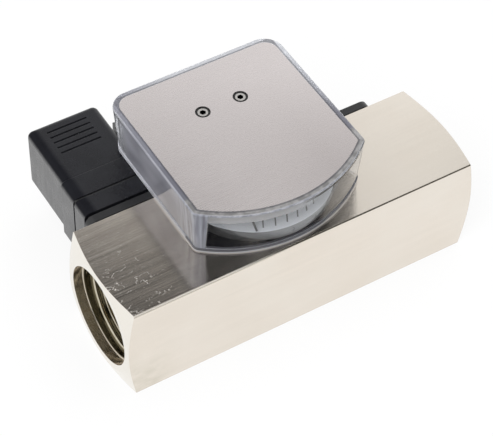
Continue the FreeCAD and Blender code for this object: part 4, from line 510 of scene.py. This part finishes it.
def tint_rim(look, top, front):
    """The cover's top: mottled at the front, with a painted highlight along its outline and painted shade beside
    the plate.

    Towards the back, the top and the walls are lighter, as painted light.
    """
    mottled = look.noise(2.4 * MM, detail=3.0, contrast=(0.38, 0.62), seed=15.0)
    painted_light = look.times(look.along(Y_AXIS, 8 * MM, 40 * MM), look.along(X_AXIS, -36 * MM, -10 * MM))
    look.tint(top, (0.22, 0.22, 0.265), 1.0)
    look.tint(look.times(top, front), (0.27, 0.265, 0.265), 1.0)
    look.tint(look.times(look.times(top, front), mottled), (0.56, 0.55, 0.55), 0.7)
    # Painted light towards the back of the cover.
    look.tint(painted_light, (0.74, 0.755, 0.80), 1.0)
    # Painted highlight along the top's outline.
    look.tint(look.times(top, rim_zone(look, 0.6 * MM)), (0.66, 0.67, 0.73), 0.7)
    # Painted shade on the top beside the plate.
    look.tint(look.times(top, look.rest(rim_zone(look, 1.7 * MM))), (0.09, 0.09, 0.105), 0.65)


def moulded_look(name, colour, low, high, grain_size=0.22 * MM):
    """Moulded or painted surface: fine even grain and a slight change of gloss."""
    look = Look(name, colour, low)
    look.round_edges(0.2 * MM)
    grain = look.noise(grain_size, detail=2.0, contrast=(0.3, 0.7))
    clouds = look.noise(7 * MM, contrast=(0.35, 0.7), seed=6.0)
    look.tint(clouds, [1.35 * part for part in colour], 0.7)
    look.gloss(look.times(grain, clouds), low, high)
    look.relief(grain, 0.008 * MM, 0.6)
    return look.material


def plug_look():
    """Black moulded plastic: the plug's outer side is a lighter grey as painted light, with rubbed streaks of
    wear, and its edges are matt.
    """
    look = Look("black_plastic", (0.0085, 0.0088, 0.0115), 0.3)
    look.round_edges(0.3 * MM)
    grain = look.noise(0.22 * MM, detail=2.0, contrast=(0.3, 0.7))
    clouds = look.noise(7 * MM, contrast=(0.35, 0.7), seed=6.0)
    rubbed = look.noise((2 * MM, 2 * MM, 12 * MM), contrast=(0.3, 0.7), seed=1.0)
    side = look.times(look.facing_along("X"), look.along(X_AXIS, -49 * MM, -54 * MM))
    look.tint(clouds, (0.012, 0.0125, 0.016), 0.7)
    # Painted light: the plug's outer side is a lighter grey.
    look.tint(side, (0.06, 0.06, 0.062), 0.9)
    look.tint(look.times(side, rubbed), (0.11, 0.11, 0.113), 0.6)
    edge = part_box("plug_hood")[0].x
    matt = look.times(look.along(X_AXIS, edge + 5.2 * MM, edge + 3.6 * MM), look.rest(side))
    look.vary("Specular IOR Level", matt, 0.38, 0.06)
    look.gloss(look.times(grain, clouds), 0.26, 0.40)
    look.relief(grain, 0.008 * MM, 0.6)
    return look.material


def paper_look():
    """White printed dial: matt, with a faint fibre and a grey edge that has painted shade at its left end."""
    look = Look("scale_white", (0.20, 0.20, 0.205), 0.5)
    unlit = look.along((1.0, 0.0, 2.0), 80 * MM, 73 * MM)
    fibre = look.noise((0.5 * MM, 0.5 * MM, 0.2 * MM), contrast=(0.3, 0.7))
    # Painted shade on the dial edge's left end.
    look.tint(unlit, (0.02, 0.02, 0.02), 1.0)
    look.tint(look.facing_along("Z"), (0.80, 0.82, 0.85), 1.0)
    look.tint(fibre, (0.62, 0.63, 0.64), 0.15)
    look.gloss(fibre, 0.42, 0.58)
    look.relief(fibre, 0.004 * MM, 0.4)
    return look.material


def board_look():
    """Green circuit board with the weave of its glass cloth."""
    look = Look("circuit_board", (0.018, 0.13, 0.055), 0.32)
    warp = look.noise((0.5 * MM, 0.5 * MM, 4 * MM), contrast=(0.35, 0.65))
    weft = look.noise((4 * MM, 0.5 * MM, 0.5 * MM), contrast=(0.35, 0.65), seed=8.0)
    look.tint(warp, (0.03, 0.19, 0.08), 0.5)
    look.tint(weft, (0.012, 0.10, 0.045), 0.5)
    look.gloss(warp, 0.26, 0.38)
    look.relief(weft, 0.006 * MM, 0.5)
    return look.material


def glass_look():
    """Greenish glass of the reed contact."""
    look = Look("reed_glass", (0.82, 0.93, 0.86), 0.02, Transmission_Weight=1.0, IOR=1.5)
    drawn = look.noise((4 * MM, 0.6 * MM, 0.6 * MM))
    look.gloss(drawn, 0.01, 0.05)
    look.relief(drawn, 0.01 * MM, 0.3)
    return look.material


def magnet_look():
    """Dark sintered magnet with a fine crystalline grain."""
    look = Look("magnet", (0.06, 0.06, 0.064), 0.45, metallic=0.6)
    grain = look.noise(0.15 * MM, contrast=(0.3, 0.7))
    look.tint(grain, (0.11, 0.11, 0.115), 0.6)
    look.gloss(grain, 0.36, 0.55)
    look.relief(grain, 0.006 * MM, 0.6)
    return look.material


def dress_nodes(looks):
    """Each solid takes the look of its material slot."""
    for part in frame["record"]["subparts"]:
        mesh = NODES[part["node"]].data
        mesh.materials.clear()
        mesh.materials.append(looks[part["material_slot"]])


def add_piece(name, shape, look):
    """A mesh piece from a bmesh, with its look and slot, that rides on the meter."""
    mesh = bpy.data.meshes.new(name)
    bmesh.ops.recalc_face_normals(shape, faces=shape.faces)
    shape.to_mesh(mesh)
    shape.free()
    mesh.materials.append(look)
    piece = bpy.data.objects.new(name, mesh)
    bpy.context.scene.collection.objects.link(piece)
    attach(piece, "meter")
    return piece


def smooth(shape):
    """Smooth shading all over, apart from sharp edges."""
    for face in shape.faces:
        face.smooth = True
    for edge in shape.edges:
        edge.smooth = edge.calc_face_angle(0.0) < SHARP_ANGLE


def swept(sections):
    """A closed skin through sections of equally many points, capped at both ends."""
    shape = bmesh.new()
    rows = [[shape.verts.new(point) for point in section] for section in sections]
    count = len(rows[0])
    for row, after in zip(rows, rows[1:]):
        for index in range(count):
            following = (index + 1) % count
            shape.faces.new((row[index], row[following], after[following], after[index]))
    shape.faces.new(rows[0])
    shape.faces.new(rows[-1])
    return shape


def port_thread(mount):
    """The helical ridge that a port's wall carries, with its ends run out to nothing."""
    length = mount["dims"]["length_mm"] * MM
    radius = mount["dims"]["r_mm"] * MM
    outward = Vector(mount["axis"])
    deep = Vector(mount["pos_m"]) - outward * (length / 2 - THREAD_FOOT)
    turns = (length - 2 * THREAD_FOOT) / THREAD_PITCH
    steps = int(turns * THREAD_STEPS)
    sections = []
    for step in range(steps + 1):
        turn = step / THREAD_STEPS
        fade = min(1.0, turn / THREAD_RUN_OUT, (turns - turn) / THREAD_RUN_OUT)
        fade = max(fade, THREAD_END_SHARE)
        angle = math.tau * turn
        radial = Vector((0.0, math.sin(angle), math.cos(angle)))
        centre = deep + outward * (turn * THREAD_PITCH)
        sections.append([centre + outward * along * fade + radial * (radius - inward * fade + THREAD_SUNK)
                         for along, inward in thread_profile()])
    return swept(sections)


def thread_profile():
    """Straight flanks with a rounded crest: pairs of distance along the axis and height."""
    foot = (THREAD_FOOT, 0.0)
    shoulder = (THREAD_SHOULDER, THREAD_DEPTH - 0.10 * MM)
    near_crest = (THREAD_SHOULDER * 0.55, THREAD_DEPTH + 0.01 * MM)
    right = [foot, shoulder, near_crest]
    crest = [(0.0, THREAD_DEPTH + THREAD_SUNK)]
    return [(-along, inward) for along, inward in right] + crest + right[::-1]


def coil_spring():
    """Round wire wound with closed ends, where the spring's solid lies."""
    low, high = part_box("return_spring")
    wire = SPRING_WIRE / 2
    radius = (high.z - low.z) / 2 - wire
    start = low.x + wire
    length = high.x - low.x - SPRING_WIRE
    inner_pitch = (length - 2 * SPRING_END_PITCH) / (SPRING_TURNS - 2)
    sections = []
    for step in range(SPRING_TURNS * SPRING_STEPS + 1):
        turn = step / SPRING_STEPS
        ends = min(turn, 1.0) + max(turn - SPRING_TURNS + 1.0, 0.0)
        along = start + ends * SPRING_END_PITCH + (turn - ends) * inner_pitch
        angle = math.tau * turn
        radial = Vector((0.0, math.sin(angle), math.cos(angle)))
        centre = Vector((along, 0.0, FLOW_HEIGHT)) + radial * radius
        sections.append([centre + wire * (radial * math.cos(turned) + Vector((math.sin(turned), 0.0, 0.0)))
                         for turned in (math.tau * side / SPRING_SIDES for side in range(SPRING_SIDES))])
    return swept(sections)


def edge_distance(angle):
    """How far the dial's edge is from the pivot, at an angle from the front."""
    behind = PIVOT.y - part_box("scale_band")[0].y - DIAL_RADIUS
    return behind * math.cos(angle) + math.sqrt(DIAL_RADIUS ** 2 - (behind * math.sin(angle)) ** 2)


def round_pivot(angle, distance):
    """The point of the floor at an angle from the front and a distance from the pivot."""
    outward = Vector((math.sin(angle), -math.cos(angle), 0.0))
    return Vector((PIVOT.x, PIVOT.y, 0.0)) + outward * distance


def scale_marks():
    """Tick marks on the dial's face and plain numbers on its edge, as thin raised print."""
    shape = bmesh.new()
    for index in range(MARK_COUNT):
        angle = math.radians(MARK_FIRST + MARK_STEP * index)
        add_tick(shape, angle)
        if index % 2 == 0:
            add_number(shape, str(index), angle)
    return shape


def leaning(distance, aside, height):
    """A step over the dial's face, along and across the direction that all ticks share."""
    outward = Vector((math.sin(MARK_LEAN), -math.cos(MARK_LEAN), 0.0))
    sideways = Vector((math.cos(MARK_LEAN), math.sin(MARK_LEAN), 0.0))
    return outward * distance + sideways * aside + Vector((0.0, 0.0, height))


def add_tick(shape, angle):
    """A thin bar on the dial's face, some way behind its edge, at an angle from the front."""
    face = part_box("scale_band")[1].z
    half = MARK_WIDTH / 2
    reach = MARK_LENGTH / 2
    corners = [(distance, aside, height) for height in (face - MARK_SUNK, face + MARK_THICKNESS)
               for distance, aside in ((reach, -half), (reach, half), (-reach, half), (-reach, -half))]
    middle = round_pivot(angle, edge_distance(angle) - MARK_FROM_EDGE - reach)
    points = [shape.verts.new(middle + leaning(*corner)) for corner in corners]
    shape.faces.new(points[3::-1])
    shape.faces.new(points[4:])
    for index in range(4):
        following = (index + 1) % 4
        shape.faces.new((points[index], points[following], points[following + 4], points[index + 4]))


def add_number(shape, words, angle):
    """Digits drawn flat, then bent round the dial's edge under their tick."""
    centre = Vector((PIVOT.x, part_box("scale_band")[0].y + DIAL_RADIUS, 0.0))
    foot = round_pivot(angle, edge_distance(angle)) - centre
    turn = math.atan2(foot.x, -foot.y)
    curve = bpy.data.curves.new("digits", "FONT")
    curve.body = words
    curve.size = NUMBER_SIZE
    curve.align_x = "CENTER"
    curve.extrude = (MARK_THICKNESS + MARK_SUNK) / 2
    drawing = bpy.data.objects.new("digits", curve)
    mesh = bpy.data.meshes.new_from_object(drawing)
    digits = bmesh.new()
    digits.from_mesh(mesh)
    bmesh.ops.remove_doubles(digits, verts=digits.verts, dist=0.001 * MM)
    middle = (MARK_THICKNESS - MARK_SUNK) / 2
    for vert in digits.verts:
        flat = vert.co.copy()
        bend = turn + flat.x / DIAL_RADIUS
        outward = Vector((math.sin(bend), -math.cos(bend), 0.0))
        height = Vector((0.0, 0.0, NUMBER_BASE + flat.y))
        vert.co = centre + outward * (DIAL_RADIUS + middle + flat.z) + height
    bent = bpy.data.meshes.new("digits")
    digits.to_mesh(bent)
    digits.free()
    shape.from_mesh(bent)
    bpy.data.meshes.remove(bent)
    bpy.data.meshes.remove(mesh)
    bpy.data.objects.remove(drawing)
    bpy.data.curves.remove(curve)


def add_pieces(looks):
    """Threads of the two ports, the wire of the return spring and the dial's marks."""
    for end in ("inlet", "outlet"):
        thread = port_thread(MOUNTS[end + "_port"])
        smooth(thread)
        add_piece(end + "_thread", thread, thread_look())
    coil = coil_spring()
    smooth(coil)
    spring = add_piece("coil_spring", coil, looks["spring_steel"])
    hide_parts("return_spring")
    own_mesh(spring)
    add_piece("scale_marks", scale_marks(), looks["needle_black"])


def make_looks():
    """One look for each material slot of the record."""
    return {
        "nickel_plate": nickel_look(),
        "brass": turned_look("turned_brass", (0.78, 0.57, 0.27), 0.24),
        "steel": turned_look("turned_steel", (0.58, 0.565, 0.54), 0.27),
        "spring_steel": turned_look("spring_steel", (0.50, 0.49, 0.475), 0.3),
        "magnet": magnet_look(),
        "guide_plastic": moulded_look("guide_plastic", (0.70, 0.68, 0.62), 0.40, 0.55),
        "brushed_plate": plate_look(),
        "screw_steel": screw_look(),
        "clear_plastic": clear_look(),
        "scale_white": paper_look(),
        "needle_black": moulded_look("needle_black", (0.008, 0.008, 0.009), 0.35, 0.5),
        "black_plastic": plug_look(),
        "black_plate": moulded_look("black_plate", (0.011, 0.011, 0.012), 0.3, 0.42, 0.4 * MM),
        "seal_rubber": moulded_look("seal_rubber", (0.016, 0.016, 0.016), 0.6, 0.8),
        "board": board_look(),
        "reed_glass": glass_look(),
        "contact_metal": turned_look("tinned_contacts", (0.70, 0.68, 0.64), 0.24),
    }


def light_seen(tree, plain, seen):
    """The number seen for the camera, reflections and glass, and the number plain for all other rays."""
    path = tree.nodes.new("ShaderNodeLightPath")
    direct = tree.nodes.new("ShaderNodeMath")
    direct.operation = "MAXIMUM"
    anyway = tree.nodes.new("ShaderNodeMath")
    anyway.operation = "MAXIMUM"
    tree.links.new(path.outputs["Is Camera Ray"], direct.inputs[0])
    tree.links.new(path.outputs["Is Glossy Ray"], direct.inputs[1])
    tree.links.new(direct.outputs["Value"], anyway.inputs[0])
    tree.links.new(path.outputs["Is Transmission Ray"], anyway.inputs[1])
    strength = tree.nodes.new("ShaderNodeMapRange")
    strength.inputs["To Min"].default_value = plain
    strength.inputs["To Max"].default_value = seen
    tree.links.new(anyway.outputs["Value"], strength.inputs["Value"])
    return strength.outputs["Result"]


def make_world():
    """A white studio all round, weaker as a light than it looks."""
    world = bpy.data.worlds.new("white_studio")
    world.use_nodes = True
    bpy.context.scene.world = world
    background = world.node_tree.nodes["Background"]
    background.inputs["Color"].default_value = (1.0, 1.0, 1.0, 1.0)
    strength = light_seen(world.node_tree, plain=0.55, seen=1.0)
    world.node_tree.links.new(strength, background.inputs["Strength"])


def make_floor():
    """A wide white floor at the bar's foot that keeps a soft shadow."""
    size = 6.0
    shape = bmesh.new()
    bmesh.ops.create_grid(shape, x_segments=1, y_segments=1, size=size / 2)
    mesh = bpy.data.meshes.new("floor")
    shape.to_mesh(mesh)
    shape.free()
    floor = bpy.data.objects.new("floor", mesh)
    floor.location.z = CAD_BOX[0][2]
    bpy.context.scene.collection.objects.link(floor)
    material = bpy.data.materials.new("white_floor")
    material.use_nodes = True
    tree = material.node_tree
    matt = tree.nodes["Principled BSDF"]
    matt.inputs["Base Color"].default_value = (0.9, 0.9, 0.9, 1.0)
    matt.inputs["Roughness"].default_value = 0.9
    white = tree.nodes.new("ShaderNodeEmission")
    mix = tree.nodes.new("ShaderNodeMixShader")
    tree.links.new(light_seen(tree, plain=0.0, seen=0.86), mix.inputs["Fac"])
    tree.links.new(matt.outputs["BSDF"], mix.inputs[1])
    tree.links.new(white.outputs["Emission"], mix.inputs[2])
    tree.links.new(mix.outputs["Shader"], tree.nodes["Material Output"].inputs["Surface"])
    mesh.materials.append(material)


def card(name, azimuth, elevation, distance, width, height, brightness, across, upward):
    """A board that only shows in reflections: a dark part of the studio, faded into the white round it.

    It goes from white to dark between two places across it and two places up it, both from -0.5 to 0.5.
    """
    towards = direction(azimuth, elevation)
    shape = bmesh.new()
    bmesh.ops.create_grid(shape, x_segments=1, y_segments=1, size=0.5)
    mesh = bpy.data.meshes.new(name)
    shape.to_mesh(mesh)
    shape.free()
    board = bpy.data.objects.new(name, mesh)
    board.matrix_world = turned_to_object(towards, distance) @ Matrix.Diagonal((width, height, 1.0, 1.0))
    bpy.context.scene.collection.objects.link(board)
    glow = Look(name, (0.0, 0.0, 0.0), 1.0)
    dark = glow.times(glow.along(X_AXIS, *across), glow.along(Y_AXIS, *upward))
    emission = glow.node("ShaderNodeEmission")
    strength = glow.node("ShaderNodeMapRange")
    strength.inputs["To Min"].default_value = 1.0
    strength.inputs["To Max"].default_value = brightness
    glow.join(dark, strength.inputs["Value"])
    glow.join(strength.outputs["Result"], emission.inputs["Strength"])
    glow.join(emission.outputs["Emission"], glow.tree.nodes["Material Output"].inputs["Surface"])
    mesh.materials.append(glow.material)
    board.visible_camera = False
    board.visible_diffuse = False
    board.visible_shadow = False
    board.visible_transmission = False


def direction(azimuth, elevation):
    """Unit vector: azimuth in degrees from +X towards +Y, elevation in degrees above the floor."""
    around = math.radians(azimuth)
    above = math.radians(elevation)
    return Vector((math.cos(around) * math.cos(above), math.sin(around) * math.cos(above), math.sin(above)))


def turned_to_object(towards, distance):
    """Place of a lamp or board, at a distance in a direction and square to it."""
    return Matrix.Translation(towards * distance) @ towards.to_track_quat("Z", "Y").to_matrix().to_4x4()


def soft_light(name, azimuth, elevation, distance, size, power):
    """A round soft lamp that lights the object but isn't seen in it or through it."""
    lamp = bpy.data.lights.new(name, "AREA")
    lamp.shape = "DISK"
    lamp.size = size
    lamp.energy = power
    holder = bpy.data.objects.new(name, lamp)
    holder.matrix_world = turned_to_object(direction(azimuth, elevation), distance)
    holder.visible_glossy = False
    holder.visible_transmission = False
    holder.visible_camera = False
    bpy.context.scene.collection.objects.link(holder)


def make_studio():
    """White surroundings, two soft lamps, and dark parts of the room for the metal and glass to mirror."""
    make_world()
    make_floor()
    soft_light("key_light", azimuth=-150, elevation=55, distance=1.2, size=0.9, power=9.0)
    soft_light("fill_light", azimuth=20, elevation=60, distance=1.4, size=1.2, power=6.0)
    card("dark_ceiling", azimuth=64, elevation=58, distance=1.6, width=0.8, height=0.74, brightness=0.05,
         across=(-0.404, -0.09), upward=(-0.47, -0.235))
    card("dark_hall", azimuth=-126, elevation=47, distance=1.6, width=1.1, height=0.9, brightness=0.04,
         across=(-0.5, -0.4), upward=(-0.5, -0.4))
    card("dark_room", azimuth=-57, elevation=46, distance=1.6, width=1.2, height=1.0, brightness=0.04,
         across=(-0.5, -0.4), upward=(-0.5, -0.4))


def make_camera():
    """The photograph's viewpoint, worked out about the middle of the bar."""
    right = Vector((math.cos(CAMERA_AZIMUTH), math.sin(CAMERA_AZIMUTH), 0.0))
    level = math.cos(CAMERA_ELEVATION)
    back = Vector((math.sin(CAMERA_AZIMUTH) * level,
                   -math.cos(CAMERA_AZIMUTH) * level,
                   math.sin(CAMERA_ELEVATION)))
    up = back.cross(right)
    image_right = right * math.cos(CAMERA_ROLL) + up * math.sin(CAMERA_ROLL)
    image_up = up * math.cos(CAMERA_ROLL) - right * math.sin(CAMERA_ROLL)
    place = (BAR_LOW + BAR_HIGH) / 2 - image_right * CAMERA_SHIFT_RIGHT - image_up * CAMERA_SHIFT_UP
    place += back * CAMERA_DISTANCE
    camera = bpy.data.cameras.new("photo_camera")
    camera.sensor_fit = "HORIZONTAL"
    camera.sensor_width = SENSOR_WIDTH
    camera.lens = FOCAL_PIXELS * SENSOR_WIDTH / IMAGE_WIDTH
    camera.clip_start = 10 * MM
    holder = bpy.data.objects.new("photo_camera", camera)
    axes = Matrix((image_right, image_up, back)).transposed()
    holder.matrix_world = Matrix.Translation(place) @ axes.to_4x4()
    bpy.context.scene.collection.objects.link(holder)
    bpy.context.scene.camera = holder


looks = make_looks()
dress_nodes(looks)
# Light falls through the clear cover.
NODES["clear_cover"].visible_shadow = False
add_pieces(looks)
make_studio()
make_camera()
bpy.context.scene.view_settings.view_transform = "Standard"
